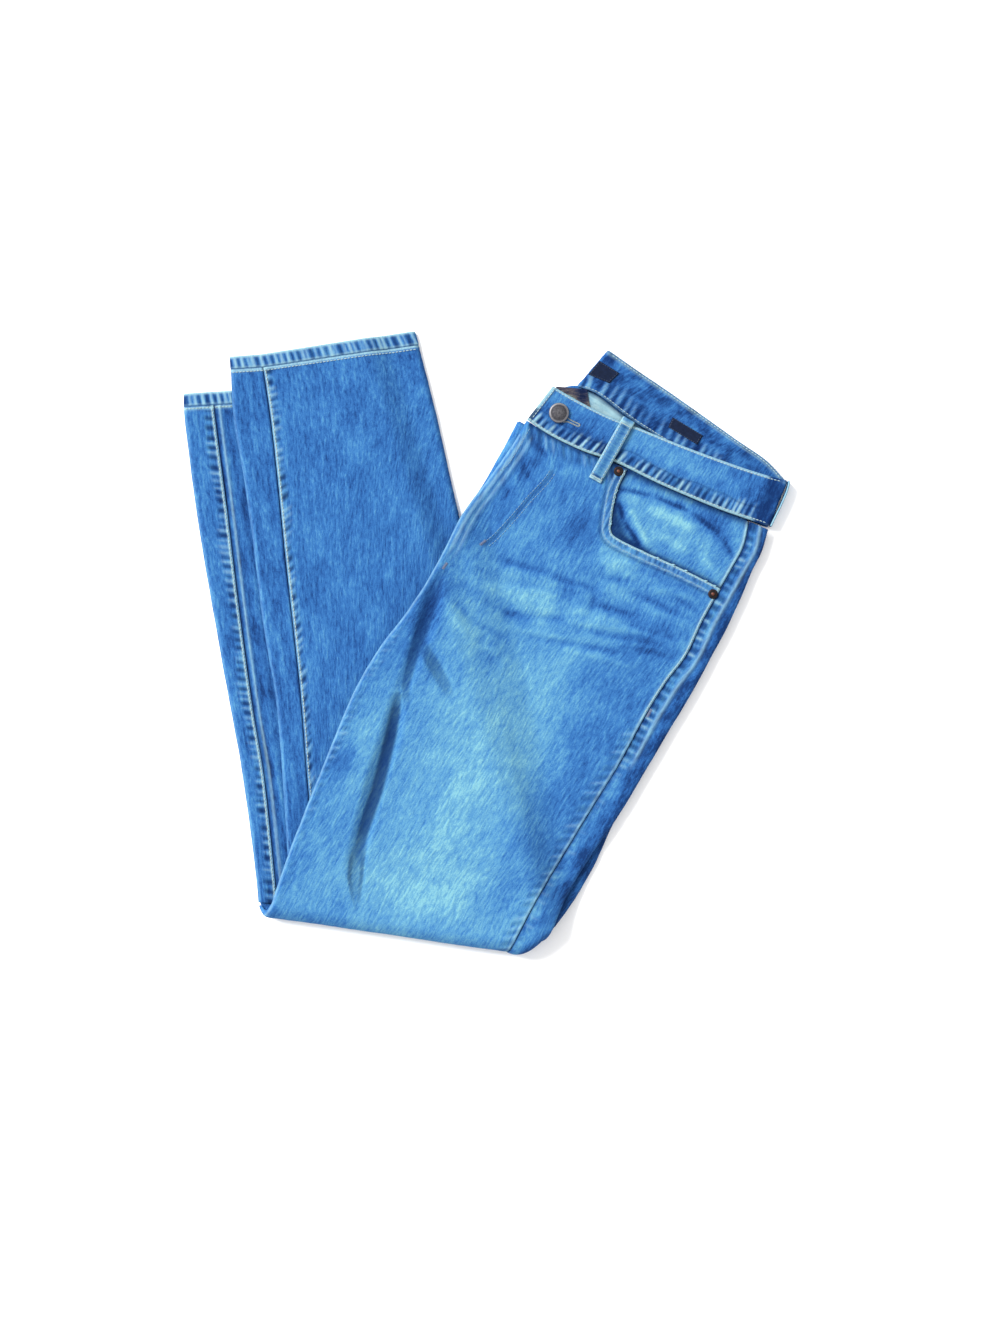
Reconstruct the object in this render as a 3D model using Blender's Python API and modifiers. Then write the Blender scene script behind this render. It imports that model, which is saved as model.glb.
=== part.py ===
"""Slim fit jeans, folded in half down the centre and then folded under at the knees.

The wearer's left half lies on top, front up. Both shins are folded under and stick
out at the upper left, the right shin over the left one.
Axes: +X across the waist, +Y towards the hems, +Z up off the surface they lie on.
Tables and sizes are in millimetres. The origin is under the middle of the footprint.
"""

import math
from collections import namedtuple

import bmesh
import bpy
import numpy as np

MM = 0.001
CENTRE = (-1.507, -0.318, 0.0)

# Cloth
DENIM = 1.2
FACING = 1.1
HEM_WALL = 1.8
BAND_WALL = 2.6
LOOP_WALL = 1.8
LABEL_WALL = 0.4
SPACE = 0.3
SEAM_SPACE = 0.2
COVERED = DENIM + 0.6

# A leg pressed flat, and how high the four of them lie on each other
TUBE = 6.4
HALF = TUBE / 2
PITCH = TUBE + SPACE
EDGE_ROUND = 5.0
OVERLAP = 2.5
STEP_IN = 2.0
STEP = 0.6
WRAP_UNDER = 8.0
WRAP_ANGLE = 60.0
EDGE_STEP = 30.0
SHIN_DROP = 26.0
THIGH_DROP = 34.0
EDGE_LIFT = 0.7
EDGE_LIFT_TO = 0.31
CREASE_SPARE = 0.7
CREASE_WIDER = 1.5
CORNER_SPARE = 1.2
EDGE_DROP = 1.2

# The fold under the knees
FOLD_OUT = np.array((-0.148, -0.989))
FOLD_ACROSS = np.array((0.989, -0.148))
FOLD_AT = np.array((15.5, -290.9))
FOLD_CLEAR = 15.0
FOLD_HOLD = 70.0
SEAM_DRIFT = -13.2
CORNER_BOW = 6.5
PANEL_END_TILT = -75.0

# The waistband, four layers of one ribbon
BAND_LEVELS = (12.0, 8.3, 4.8, 1.32)
INSIDE_TOP = 9.0
SEAT_BOTTOM = 4.3
SEAT_TOP = 7.4

# Where the panels and their filling start and end
CORE_START = 0.16
SHIN_ROWS = 18
SHIN_SHOWS_LEFT = 0.7
SHIN_SHOWS_SEAM = 1.3
SHIN_SHOWS_RIGHT = 4.6
BACK_SHIN_REACH = 42.0
SHIN_CORE_ROWS = [("fold", 0.0), ("hidden", 0.02), ("hidden", 0.25), ("hidden", 0.5), ("shown", -0.03)]
FOLD_FILL = 4.0
FOLD_RISE = 5.5

# Small pieces
LOOP_WIDTH = 12.5
BUTTON_AT = (65.9, 213.9)
RIVETS = (("rivet_upper", 121.7, 159.5), ("rivet_lower", 209.9, 44.7))

Section = namedtuple("Section", "name left_x left_y seam_x seam_y right_x right_y")
Reveal = namedtuple("Reveal", "name left right")
Point = namedtuple("Point", "x y")
Line = namedtuple("Line", "x0 y0 x1 y1")
Crease = namedtuple("Crease", "x y depth half_width")
Band = namedtuple("Band", "name top_x top_y seam_x seam_y")
Rise = namedtuple("Rise", "along height")
Turned = namedtuple("Turned", "radius height")
Dip = namedtuple("Dip", "across depth")

# Sections across the top thigh: its left edge, its outseam and its right edge.
THIGH = (
    Section("waist seam", 36.1, 207.7, 243.9, 112.2, 261.7, 104.7),
    Section("hip", 19.2, 179.6, 239.2, 89.8, 256.1, 85.1),
    Section("pocket mouth", -2.3, 149.7, 228.9, 70.1, 246.7, 65.4),
    Section("rivet", -23.8, 120.5, 215.6, 46.6, 235.3, 39.2),
    Section("fly end", -40.6, 87.7, 200.4, 19.5, 222.9, 12.0),
    Section("rise", -57.3, 56.7, 185.3, -12.3, 205.8, -19.8),
    Section("crotch", -78.7, 24.0, 166.5, -37.5, 189.8, -48.7),
    Section("upper thigh", -103.8, -8.6, 146.8, -69.1, 171.0, -80.3),
    Section("mid thigh", -126.0, -47.7, 122.5, -113.8, 146.7, -121.2),
    Section("lower thigh", -145.6, -94.3, 95.5, -157.6, 118.8, -167.8),
    Section("above knee", -167.0, -147.3, 69.5, -200.4, 92.7, -205.0),
    Section("knee hollow", -187.5, -200.4, 45.3, -239.5, 72.3, -239.5),
    Section("knee bend", -201.5, -244.1, 24.8, -278.6, 61.1, -265.6),
)

# How far the waist seam sags below a straight line, from the fly to the side.
WAIST_DIPS = (
    Dip(0.0, 0.3),
    Dip(0.12, 4.8),
    Dip(0.27, 5.6),
    Dip(0.42, 2.9),
    Dip(0.61, 3.7),
    Dip(0.86, 2.2),
    Dip(1.0, -0.6),
    Dip(1.2, -0.6),
)
WAIST_DOWN = np.array((-0.4176, -0.9086))

# How far the right thigh shows beyond the left one on each side, less than 0 where hidden.
UNDER_THIGH = (
    Reveal("waist seam", 6.5, -2.0),
    Reveal("hip", 4.5, -2.0),
    Reveal("pocket mouth", 0.5, -2.0),
    Reveal("rivet", -3.0, -2.0),
    Reveal("fly end", -4.0, -2.0),
    Reveal("rise", -5.0, -2.0),
    Reveal("crotch", -6.0, -2.0),
    Reveal("upper thigh", -6.0, -2.0),
    Reveal("mid thigh", -7.0, -2.0),
    Reveal("lower thigh", -8.0, -0.5),
    Reveal("above knee", -10.0, 8.0),
    Reveal("knee hollow", -14.0, 9.5),
    Reveal("knee bend", -20.0, 2.0),
)

# Sections across the shins, from the knee to the hem. The seam is the inseam.
LEFT_SHIN = (
    Section("knee bend", -215.9, -245.1, -198.1, -246.9, 49.3, -268.5),
    Section("below knee", -220.1, -202.8, -202.3, -202.8, 25.8, -202.8),
    Section("upper shin", -230.9, -124.9, -210.8, -124.9, 2.4, -124.9),
    Section("mid shin", -242.7, -59.2, -221.5, -59.2, -18.3, -59.2),
    Section("shin", -259.6, 34.7, -234.2, 33.8, -46.5, 34.7),
    Section("lower shin", -273.7, 119.2, -244.6, 119.2, -72.7, 119.2),
    Section("above hem", -283.5, 194.3, -254.4, 194.3, -94.3, 197.1),
    Section("hem seam", -285.9, 219.7, -257.7, 221.5, -101.8, 230.0),
    Section("hem edge", -285.9, 232.8, -258.6, 234.7, -105.6, 242.2),
)
RIGHT_SHIN = (
    Section("knee bend", -185.8, -244.4, -158.6, -246.3, 56.7, -260.3),
    Section("below knee", -188.6, -194.8, -163.3, -194.8, 39.8, -199.5),
    Section("upper shin", -193.3, -119.9, -169.9, -119.9, 23.0, -124.6),
    Section("mid shin", -199.8, -49.7, -175.5, -49.7, 8.0, -54.4),
    Section("shin", -211.1, 15.8, -182.6, 15.8, -7.9, 20.5),
    Section("lower shin", -219.6, 86.1, -190.5, 86.1, -22.0, 90.8),
    Section("calf", -229.0, 151.7, -197.2, 153.6, -37.0, 161.1),
    Section("above hem", -238.5, 208.0, -203.8, 210.8, -51.0, 222.1),
    Section("hem seam", -241.4, 254.0, -210.5, 255.9, -65.1, 277.5),
    Section("hem edge", -242.4, 266.7, -212.4, 269.0, -69.4, 291.6),
)
RIGHT_SHIN_EDGE = Line(-69.0, 291.0, 55.9, -279.8)
LEFT_SHIN_EDGE = Line(-106.5, 242.2, 49.3, -270.4)

# Troughs pressed into the top thigh: the long one in two lengths, and its side branch.
CREASES = (
    (
        Crease(-46.9, 60.3, 1.5, 8.0),
        Crease(-53.4, 40.7, 3.4, 12.0),
        Crease(-57.1, 20.2, 4.0, 13.0),
        Crease(-63.6, -1.2, 3.8, 12.0),
        Crease(-72.0, -24.4, 2.6, 10.0),
        Crease(-79.5, -43.0, 1.8, 9.0),
    ),
    (
        Crease(-83.2, -54.2, 3.2, 10.0),
        Crease(-91.6, -89.6, 4.4, 12.0),
        Crease(-104.6, -128.7, 4.5, 12.0),
        Crease(-116.7, -175.2, 4.0, 11.0),
        Crease(-124.1, -206.8, 2.6, 11.0),
        Crease(-121.3, -244.0, 0.0, 8.0),
    ),
    (
        Crease(-56.2, -7.7, 2.0, 10.0),
        Crease(-46.9, -24.4, 2.2, 11.0),
        Crease(-36.7, -46.8, 0.6, 9.0),
    ),
)

# The curved mouth of the front pocket, then round outside the panel.
POCKET_MOUTH = (
    Point(130.5, 162.6),
    Point(120.2, 141.1),
    Point(115.5, 116.8),
    Point(114.6, 104.6),
    Point(120.2, 97.1),
    Point(146.4, 84.0),
    Point(175.4, 70.9),
    Point(205.3, 56.0),
    Point(218.5, 48.5),
)
POCKET_OUTSIDE = (Point(245.0, 40.0), Point(275.0, 125.0), Point(140.0, 190.0))

# The waistband's layers: left front, left back, right back, right front.
FRONT_LEFT_BAND = (
    Band("fly end", 60.4, 239.2, 36.1, 207.9),
    Band("button", 80.9, 227.1, 56.6, 193.9),
    Band("buttonhole", 111.8, 211.2, 87.5, 178.9),
    Band("belt loop", 141.7, 199.5, 119.3, 167.7),
    Band("hip", 184.7, 182.2, 161.3, 147.2),
    Band("pocket", 230.5, 165.4, 211.8, 125.7),
    Band("outseam", 259.5, 156.0, 243.6, 114.4),
    Band("side", 277.3, 151.5, 259.5, 108.9),
)
BACK_LEFT_BAND = (
    Band("side", 277.3, 151.7, 259.5, 108.9),
    Band("outseam", 259.9, 170.4, 235.6, 136.6),
    Band("back hip", 232.8, 189.1, 200.9, 165.7),
    Band("size label", 200.0, 212.5, 168.1, 186.3),
    Band("back", 168.1, 235.0, 134.4, 207.8),
    Band("waist label", 139.1, 254.6, 103.5, 231.2),
    Band("centre back", 114.4, 272.0, 85.4, 238.5),
)
FRONT_RIGHT_BAND = (
    Band("side", 277.3, 151.5, 259.5, 108.4),
    Band("pocket", 217.5, 178.5, 198.7, 131.5),
    Band("hip", 161.1, 204.8, 142.4, 161.6),
    Band("belt loop", 123.6, 225.5, 102.9, 182.3),
    Band("button", 86.0, 240.5, 67.2, 201.1),
    Band("fly end", 63.4, 236.8, 48.4, 207.6),
)

# The yoke seen inside the back waist, from its upper edge to under the front waistband.
YOKE = (
    Band("centre back", 85.2, 236.8, 42.0, 206.6),
    Band("waist label", 103.2, 229.6, 66.0, 195.2),
    Band("back", 133.8, 206.3, 106.0, 176.2),
    Band("size label", 167.4, 184.9, 146.0, 156.8),
    Band("back hip", 200.2, 164.3, 184.0, 140.2),
    Band("outseam", 234.6, 135.3, 224.0, 122.6),
    Band("side", 247.0, 121.8, 240.0, 115.2),
)
SEAT = (
    Point(85.2, 236.6),
    Point(103.2, 229.4),
    Point(133.8, 206.1),
    Point(167.4, 184.7),
    Point(200.2, 164.1),
    Point(234.6, 135.1),
    Point(246.0, 121.0),
    Point(236.0, 101.0),
    Point(130.0, 146.0),
    Point(40.0, 186.0),
    Point(45.0, 202.0),
)

LOOP_TOP = Point(129.0, 203.5)
LOOP_END = Point(99.6, 151.2)
LOOP_RISE = (
    Rise(-4.5, 11.4),
    Rise(-4.4, 14.6),
    Rise(-2.6, 16.2),
    Rise(6.0, 16.9),
    Rise(22.0, 17.4),
    Rise(40.0, 17.1),
    Rise(52.0, 16.2),
    Rise(57.5, 15.6),
    Rise(60.2, 15.4),
)
SIDE_LOOP_TOP = Point(280.1, 150.4)
SIDE_LOOP_END = Point(262.3, 107.4)
SIDE_LOOP_BOTTOM = 0.8
SIDE_LOOP_BOW = (
    Rise(-0.5, 1.9),
    Rise(4.5, 3.9),
    Rise(12.0, 4.9),
    Rise(24.0, 4.4),
    Rise(36.0, 3.1),
    Rise(45.0, 2.3),
)
WAIST_LABEL = (Point(103.9, 263.2), Point(122.6, 251.5), Point(113.3, 242.1), Point(93.4, 250.4))
SIZE_LABEL = (Point(172.0, 208.9), Point(199.6, 192.2), Point(196.4, 186.8), Point(168.8, 203.5))

BUTTON_PROFILE = (
    Turned(0.0, 4.2),
    Turned(5.6, 4.0),
    Turned(8.3, 3.3),
    Turned(9.4, 2.4),
    Turned(9.4, 1.5),
    Turned(8.6, 0.7),
    Turned(4.0, 0.0),
    Turned(0.0, 0.0),
)
RIVET_PROFILE = (
    Turned(0.0, 1.9),
    Turned(1.7, 1.8),
    Turned(2.1, 1.4),
    Turned(3.6, 1.2),
    Turned(4.4, 0.7),
    Turned(4.6, 0.0),
    Turned(0.0, 0.0),
)

DENIM_BLUE = (0.10, 0.26, 0.55)
DENIM_DEEP = (0.06, 0.19, 0.46)
DENIM_INSIDE = (0.42, 0.58, 0.66)
LABEL_NAVY = (0.02, 0.03, 0.06)
ANTIQUE_METAL = (0.16, 0.15, 0.15)
COPPER = (0.22, 0.12, 0.08)


def values(rows):
    return np.array([[item for item in row if not isinstance(item, str)] for row in rows], float)


def blend(amount):
    amount = min(max(amount, 0.0), 1.0)
    return amount * amount * (3 - 2 * amount)


def between(table, at):
    """The table's row at a fractional index, on a smooth curve through its rows."""
    last = len(table) - 1
    index = min(max(int(at), 0), last - 1)
    part = at - index
    before = table[max(index - 1, 0)]
    first = table[index]
    second = table[index + 1]
    after = table[min(index + 2, last)]
    turn = 2 * before - 5 * first + 4 * second - after
    bend = 3 * (first - second) + after - before
    return first + 0.5 * part * (second - before + part * (turn + part * bend))


def right_of(line, plan):
    """How far a point lies to the right of a leg's edge."""
    run = np.array((line.x1 - line.x0, line.y1 - line.y0))
    run /= np.linalg.norm(run)
    away = plan - np.array((line.x0, line.y0))
    return float(away[1] * run[0] - away[0] * run[1])


def draped(line, reach, plan):
    """1 over the leg beneath, down to 0 where the cloth has come down beside it."""
    from_fold = float((FOLD_AT - plan) @ FOLD_OUT)
    free = blend((from_fold - FOLD_CLEAR) / FOLD_HOLD)
    return 1 - blend(right_of(line, plan) / reach) * free


def right_shin_bottom(plan):
    return PITCH * draped(LEFT_SHIN_EDGE, SHIN_DROP, plan)


def thigh_bottom(plan):
    over = PITCH * draped(LEFT_SHIN_EDGE, THIGH_DROP, plan) + PITCH
    return over * draped(RIGHT_SHIN_EDGE, THIGH_DROP, plan)


def crease_depth(plan, wider=1.0, deeper=0.0):
    """Depth of the pressed troughs at a point of the top thigh."""
    deepest = 0.0
    for rows in CREASES:
        for start, end in zip(rows, rows[1:]):
            a = np.array((start.x, start.y))
            run = np.array((end.x, end.y)) - a
            part = min(max(float((plan - a) @ run / (run @ run)), 0.0), 1.0)
            width = wider * (start.half_width + part * (end.half_width - start.half_width))
            depth = start.depth + part * (end.depth - start.depth) + deeper
            reach = np.linalg.norm(plan - a - part * run) / width
            if reach < 1:
                deepest = max(deepest, depth * (1 - reach * reach) ** 2)
    return deepest


def under_crease(plan):
    """The same troughs in the filling, wide and deep enough to stay clear of the wall's slopes."""
    return crease_depth(plan, CREASE_WIDER, CREASE_SPARE)


def under_edge_crease(plan):
    return crease_depth(plan, 1.0, CREASE_SPARE)


class Leg:
    """A leg pressed flat: the thigh from waist to knee, round the fold, then the shin to the hem."""

    def __init__(self, thigh, shin, thigh_middle, shin_middle):
        self.thigh = thigh
        self.shin = shin
        self.thigh_middle = thigh_middle
        self.shin_middle = shin_middle
        self.bend = len(thigh) - 1
        self.under = self.bend + 1
        self.hem_seam = self.under + len(shin) - 2
        self.hem_edge = self.hem_seam + 1

    def at_tilt(self, tilt):
        return self.bend + (90 - tilt) / 180

    def section(self, at):
        """Left, seam and right plan points, the way the outer face looks, and the middle height."""
        if at <= self.bend:
            row = between(self.thigh, at)
            return row[0:2], row[2:4], row[4:6], 90.0, self.thigh_middle
        if at >= self.under:
            row = between(self.shin, at - self.under)
            return row[0:2], row[2:4], row[4:6], -90.0, self.shin_middle
        part = at - self.bend
        tilt = 90 - 180 * part
        high = self.thigh_middle(self.thigh[-1][0:2])
        low = self.shin_middle(self.shin[0][0:2])
        reach = (high - low) / 2
        seam_end = self.thigh[-1][2:4] + SEAM_DRIFT * FOLD_ACROSS
        ends = (self.shin[0][0:2], seam_end, self.shin[0][4:6])
        swing = FOLD_OUT * max(reach - 0.9, reach * 0.9) * math.cos(math.radians(tilt))
        points = [
            self.thigh[-1][2 * i : 2 * i + 2] * (1 - part) + ends[i] * part + swing
            for i in range(3)
        ]
        level = (high + low) / 2 + reach * math.sin(math.radians(tilt))
        return points[0], points[1], points[2], tilt, lambda plan: level

    def bow(self, at):
        """How far the cloth right of the outseam swells at the corner of the fold."""
        return CORNER_BOW * blend(at - self.bend + 1.5) * blend(self.under - at + 0.5)

    def sag(self, at, plan):
        """The shift that fits a point near the waist to the waistband's curved seam."""
        if at >= 1:
            return 0.0
        first = self.thigh[0]
        run = first[2:4] - first[0:2]
        across = float((plan - first[0:2]) @ run / (run @ run))
        dip = np.interp(across, values(WAIST_DIPS)[:, 0], values(WAIST_DIPS)[:, 1])
        return WAIST_DOWN * dip * (1 - at) ** 2

    def point(self, at, station, inset=0.0, sunk=None, half=None):
        """One point on the ring round the leg.

        A station is left or right with an angle that rounds that edge, 90 at the outer
        face, or outer or inner with 0 to 1 from left to seam and 1 to 2 from seam to right.
        """
        left, seam, right, tilt, middle = self.section(at)
        side, value, shift = station
        half = HALF - inset if half is None else half
        if side in ("left", "right"):
            start = left if side == "left" else right
            angle = math.radians(value)
            in_by = inset + (EDGE_ROUND - inset) * (1 - math.cos(angle)) + shift
            run = seam - start
            plan = start + run * in_by / np.linalg.norm(run)
            lift = half * math.sin(angle)
        else:
            start, end = (left, seam) if value <= 1 else (seam, right)
            run = (end - start) / np.linalg.norm(end - start)
            inner_left = left + (seam - left) * EDGE_ROUND / np.linalg.norm(seam - left)
            inner_right = right + (seam - right) * EDGE_ROUND / np.linalg.norm(seam - right)
            part = value if value <= 1 else value - 1
            if value <= 1:
                plan = inner_left * (1 - part) + seam * part + run * shift
            else:
                plan = seam * (1 - part) + inner_right * part + run * shift
                plan = plan + FOLD_OUT * self.bow(at) * 4 * part * (1 - part)
            lift = half if side == "outer" else -half
        plan = plan + self.sag(at, plan)
        height = middle(plan)
        if sunk is not None and lift > 0 and at <= self.under:
            lift -= sunk(plan) * (lift / half) ** 2
        slope = math.radians(tilt)
        out = FOLD_OUT * math.cos(slope)
        return np.array((*(plan + out * lift), height + math.sin(slope) * lift))


def under_thigh_rows():
    """The right thigh's sections, from the left thigh's and how far it shows beyond them."""
    rows = values(THIGH)
    for row, reveal in zip(rows, UNDER_THIGH):
        left_run = (row[0:2] - row[2:4]) / np.linalg.norm(row[0:2] - row[2:4])
        right_run = (row[4:6] - row[2:4]) / np.linalg.norm(row[4:6] - row[2:4])
        row[0:2] += left_run * reveal.left
        row[4:6] += right_run * reveal.right
    return rows


LEFT_LEG = Leg(
    values(THIGH),
    values(LEFT_SHIN),
    lambda plan: thigh_bottom(plan) + TUBE + HALF,
    lambda plan: HALF,
)
RIGHT_LEG = Leg(
    under_thigh_rows(),
    values(RIGHT_SHIN),
    lambda plan: thigh_bottom(plan) + HALF,
    lambda plan: right_shin_bottom(plan) + HALF,
)


def material(name, colour, roughness, metallic):
    made = bpy.data.materials.new(name)
    made.use_nodes = True
    shader = made.node_tree.nodes["Principled BSDF"]
    shader.inputs["Base Color"].default_value = (*colour, 1.0)
    shader.inputs["Roughness"].default_value = roughness
    shader.inputs["Metallic"].default_value = metallic
    return made


def in_metres(point):
    """A table's point in metres from the middle of the footprint."""
    return tuple(MM * (value - centre) for value, centre in zip(point, CENTRE))


def add_object(name, points, faces, look, smooth=True, into=None):
    mesh = bpy.data.meshes.new(name)
    mesh.from_pydata([in_metres(point) for point in points], [], faces)
    mesh.materials.append(look)
    made = bpy.data.objects.new(name, mesh)
    (into or JEANS).objects.link(made)
    for face in mesh.polygons:
        face.use_smooth = smooth
    return made


def grid_faces(rows, columns, closed=False, flip=False):
    faces = []
    for i in range(rows - 1):
        for j in range(columns if closed else columns - 1):
            k = (j + 1) % columns
            face = (i * columns + j, (i + 1) * columns + j, (i + 1) * columns + k, i * columns + k)
            faces.append(face[::-1] if flip else face)
    return faces


def sheet(name, grid, look, thickness, flip=False, closed=False, offset=-1.0):
    """A wall of cloth behind a grid of surface points."""
    points = [point for row in grid for point in row]
    faces = grid_faces(len(grid), len(grid[0]), closed, flip)
    made = add_object(name, points, faces, look)
    wall = made.modifiers.new("wall", "SOLIDIFY")
    wall.thickness = thickness * MM
    wall.offset = offset
    wall.use_even_offset = True
    return made


def capped(name, grid, look, flip=False, into=None):
    """A closed solid from a stack of rings."""
    points = [point for row in grid for point in row]
    columns = len(grid[0])
    faces = grid_faces(len(grid), columns, closed=True, flip=flip)
    first = tuple(range(columns))
    last = tuple(range((len(grid) - 1) * columns, len(grid) * columns))
    faces.append(first[::-1] if flip else first)
    faces.append(last if flip else last[::-1])
    return add_object(name, points, faces, look, into=into)


def steps(start, end, count):
    return [start + (end - start) * i / count for i in range(count + 1)]


FRONT_STEPS = steps(0, 0.48, 12) + steps(0.48, 1, 6)[1:]
BACK_STEPS = [1.35, 1.7]
HIDDEN_STEPS = [1.6, 1.3, 1.0] + steps(0.92, 0.36, 7) + steps(0.3, 0.05, 5)
SHIN_STEPS = [1.12, 1.26, 1.4, 1.52, 1.62, 1.7, 1.76, 1.82, 1.88, 1.94, 2.0]


def round_edge(side, start, end):
    """Stations round a leg's left or right edge."""
    count = round(abs(end - start) / EDGE_STEP)
    return [(side, angle, 0.0) for angle in steps(start, end, count)]


def across(face, values_across, shift=0.0):
    return [(face, value, shift) for value in values_across]


def thigh_rows(leg, start):
    end = leg.at_tilt(PANEL_END_TILT)
    rows = [start] + steps(1 / 3, leg.bend, 3 * leg.bend - 1)
    return rows + steps(leg.bend, end, 6)[1:]


def front_left():
    """The left front from the waist seam to round the knee fold, its pocket mouth cut out."""
    stations = round_edge("left", -WRAP_ANGLE, 60)
    stations += across("outer", FRONT_STEPS[:-1]) + [("outer", 1.0, -SEAM_SPACE)]
    grid = [
        [LEFT_LEG.point(at, station, sunk=crease_depth) for station in stations]
        for at in thigh_rows(LEFT_LEG, 0.02)
    ]
    panel = sheet("front_left", grid, DENIM_LOOK, DENIM)
    cut = panel.modifiers.new("pocket mouth", "BOOLEAN")
    cut.object = pocket_cutter()
    cut.operation = "DIFFERENCE"
    cut.solver = "EXACT"


def pocket_cutter():
    outline = values(POCKET_MOUTH)
    curve = [between(outline, at) for at in steps(0, len(outline) - 1, 24)]
    curve += [np.array(point) for point in POCKET_OUTSIDE]
    grid = [[(*point, height) for point in curve] for height in (8.0, 20.0)]
    cutter = capped("pocket_cutter", grid, DENIM_LOOK, flip=True, into=CUTTERS)
    cutter.hide_render = True
    cutter.display_type = "WIRE"
    return cutter


def back_left():
    """The left back from the outseam round the right edge."""
    stations = [("outer", 1.0001, SEAM_SPACE)] + across("outer", BACK_STEPS)
    stations += round_edge("right", 90, -WRAP_ANGLE)
    grid = [
        [LEFT_LEG.point(at, station) for station in stations]
        for at in thigh_rows(LEFT_LEG, 0.02)
    ]
    sheet("back_left", grid, DENIM_LOOK, DENIM)


def pocket_facing_left():
    """The denim behind the pocket mouth."""
    sink = DENIM + SPACE
    stations = [("outer", part, 0.0) for part in steps(0.38, 1, 6)[:-1]] + [("outer", 1.0, -0.4)]
    grid = [
        [LEFT_LEG.point(at, station) - np.array((0, 0, sink)) for station in stations]
        for at in steps(0.05, 3.7, 8)
    ]
    sheet("pocket_facing_left", grid, DENIM_LOOK, FACING)


def shin_strip(leg, name, start):
    """The cloth from the inseam round a shin's left edge and a little way under it."""
    stations = [("left", 90, WRAP_UNDER)] + round_edge("left", 90, -90)
    stations += [("inner", 0.5, 0.0), ("inner", 1.0, -SEAM_SPACE)]
    grid = [
        [leg.point(at, station) for station in stations]
        for at in steps(leg.under + start, leg.hem_seam - 0.01, 20)
    ]
    sheet(name, grid, DENIM_LOOK, DENIM, flip=True)


def back_left_shin():
    """The left back below the fold, from the inseam to under the right shin."""
    leg = LEFT_LEG
    stations = [("inner", 1.0001, shift) for shift in (SEAM_SPACE, 14.0, 28.0, BACK_SHIN_REACH)]
    grid = [
        [leg.point(at, station) for station in stations]
        for at in steps(leg.under + 0.04, leg.hem_seam - 0.01, 20)
    ]
    sheet("back_left_shin", grid, DENIM_LOOK, DENIM, flip=True)


def emerges(station):
    """How far past the fold the right shin comes out from under the thigh at a station."""
    side, value, shift = station
    if side == "right":
        return SHIN_SHOWS_RIGHT
    if side == "left" or value <= 1:
        return SHIN_SHOWS_LEFT
    return SHIN_SHOWS_SEAM + (SHIN_SHOWS_RIGHT - SHIN_SHOWS_SEAM) * (value - 1)


def front_right_shin():
    """The right front below the fold, from under the top thigh to the hem seam."""
    leg = RIGHT_LEG
    stations = [("inner", 1.0001, SEAM_SPACE)] + across("inner", SHIN_STEPS[:-1])
    stations += round_edge("right", -90, WRAP_ANGLE)
    grid = []
    for part in steps(0, 1, SHIN_ROWS):
        starts = [leg.under + emerges(station) for station in stations]
        rows = [start + (leg.hem_seam - 0.01 - start) * part for start in starts]
        grid.append([leg.point(at, station) for at, station in zip(rows, stations)])
    sheet("front_right_shin", grid, DENIM_LOOK, DENIM, flip=True)


def hem(leg, name):
    """The turned up hem, a band round the leg's mouth."""
    stations = round_edge("left", 90, -90) + across("inner", [0.5, 1.0] + SHIN_STEPS[:-1])
    stations += round_edge("right", -90, 90)
    stations += across("outer", SHIN_STEPS[-2::-1] + [1.0, 0.5])
    grid = [
        [leg.point(at, station) for station in stations]
        for at in (leg.hem_seam + 0.02, leg.hem_seam + 0.5, leg.hem_edge)
    ]
    sheet(name, grid, DENIM_LOOK, HEM_WALL, flip=True, closed=True)


def pocket_recess(at, part):
    sideways = blend((part - 0.26) / 0.06) * blend((1.3 - part) / 0.3)
    return sideways * blend((5.2 - at) / 0.6)


def left_thigh_ring(leg, at, edge, fill):
    """A ring of the left leg's filling, under its walls on top and into the right leg below."""
    deep = HALF + OVERLAP
    row = [leg.point(at, s, COVERED, sunk=under_edge_crease) for s in round_edge("left", -90, 60)]
    corner = CORNER_SPARE * blend(at - leg.bend + 1)
    for station in across("outer", FRONT_STEPS + BACK_STEPS):
        lower = COVERED * pocket_recess(at, station[1])
        if station[1] > 1:
            lower = corner
        trough = under_crease if station[1] > 0 else under_edge_crease
        row.append(leg.point(at, station, half=fill - lower, sunk=trough))
    edge += corner
    half = fill - corner
    row += [leg.point(at, station, edge, half=half) for station in round_edge("right", 90, -90)]
    row.append(leg.point(at, ("right", -90, STEP_IN), half=deep))
    row += [leg.point(at, station, half=deep) for station in across("inner", HIDDEN_STEPS)]
    row.append(leg.point(at, ("left", -90, STEP_IN), half=deep))
    return row


def left_shin_ring(leg, at):
    """A ring of the left shin's filling, into the right shin above it."""
    deep = HALF + OVERLAP
    tight = HALF - COVERED
    step = WRAP_UNDER + STEP_IN
    row = [leg.point(at, station, COVERED) for station in round_edge("left", -90, 90)]
    row.append(leg.point(at, ("left", 90, step), half=tight))
    row.append(leg.point(at, ("left", 90, step + STEP)))
    free = len(FRONT_STEPS + BACK_STEPS) - 3
    row += [leg.point(at, station) for station in across("outer", steps(1.02, 1.96, free - 1))]
    row += [leg.point(at, station) for station in round_edge("right", 90, -90)]
    row.append(leg.point(at, ("right", -90, STEP_IN), half=deep))
    above = across("inner", steps(1.92, 1.4, len(HIDDEN_STEPS) - 3))
    row += [leg.point(at, station, half=deep) for station in above]
    row.append(leg.point(at, ("inner", 1.0001, BACK_SHIN_REACH + 2 * STEP_IN), half=deep))
    row.append(leg.point(at, ("inner", 1.0001, BACK_SHIN_REACH + STEP_IN), half=tight))
    row.append(leg.point(at, ("left", -90, STEP_IN), half=tight))
    return row


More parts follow.
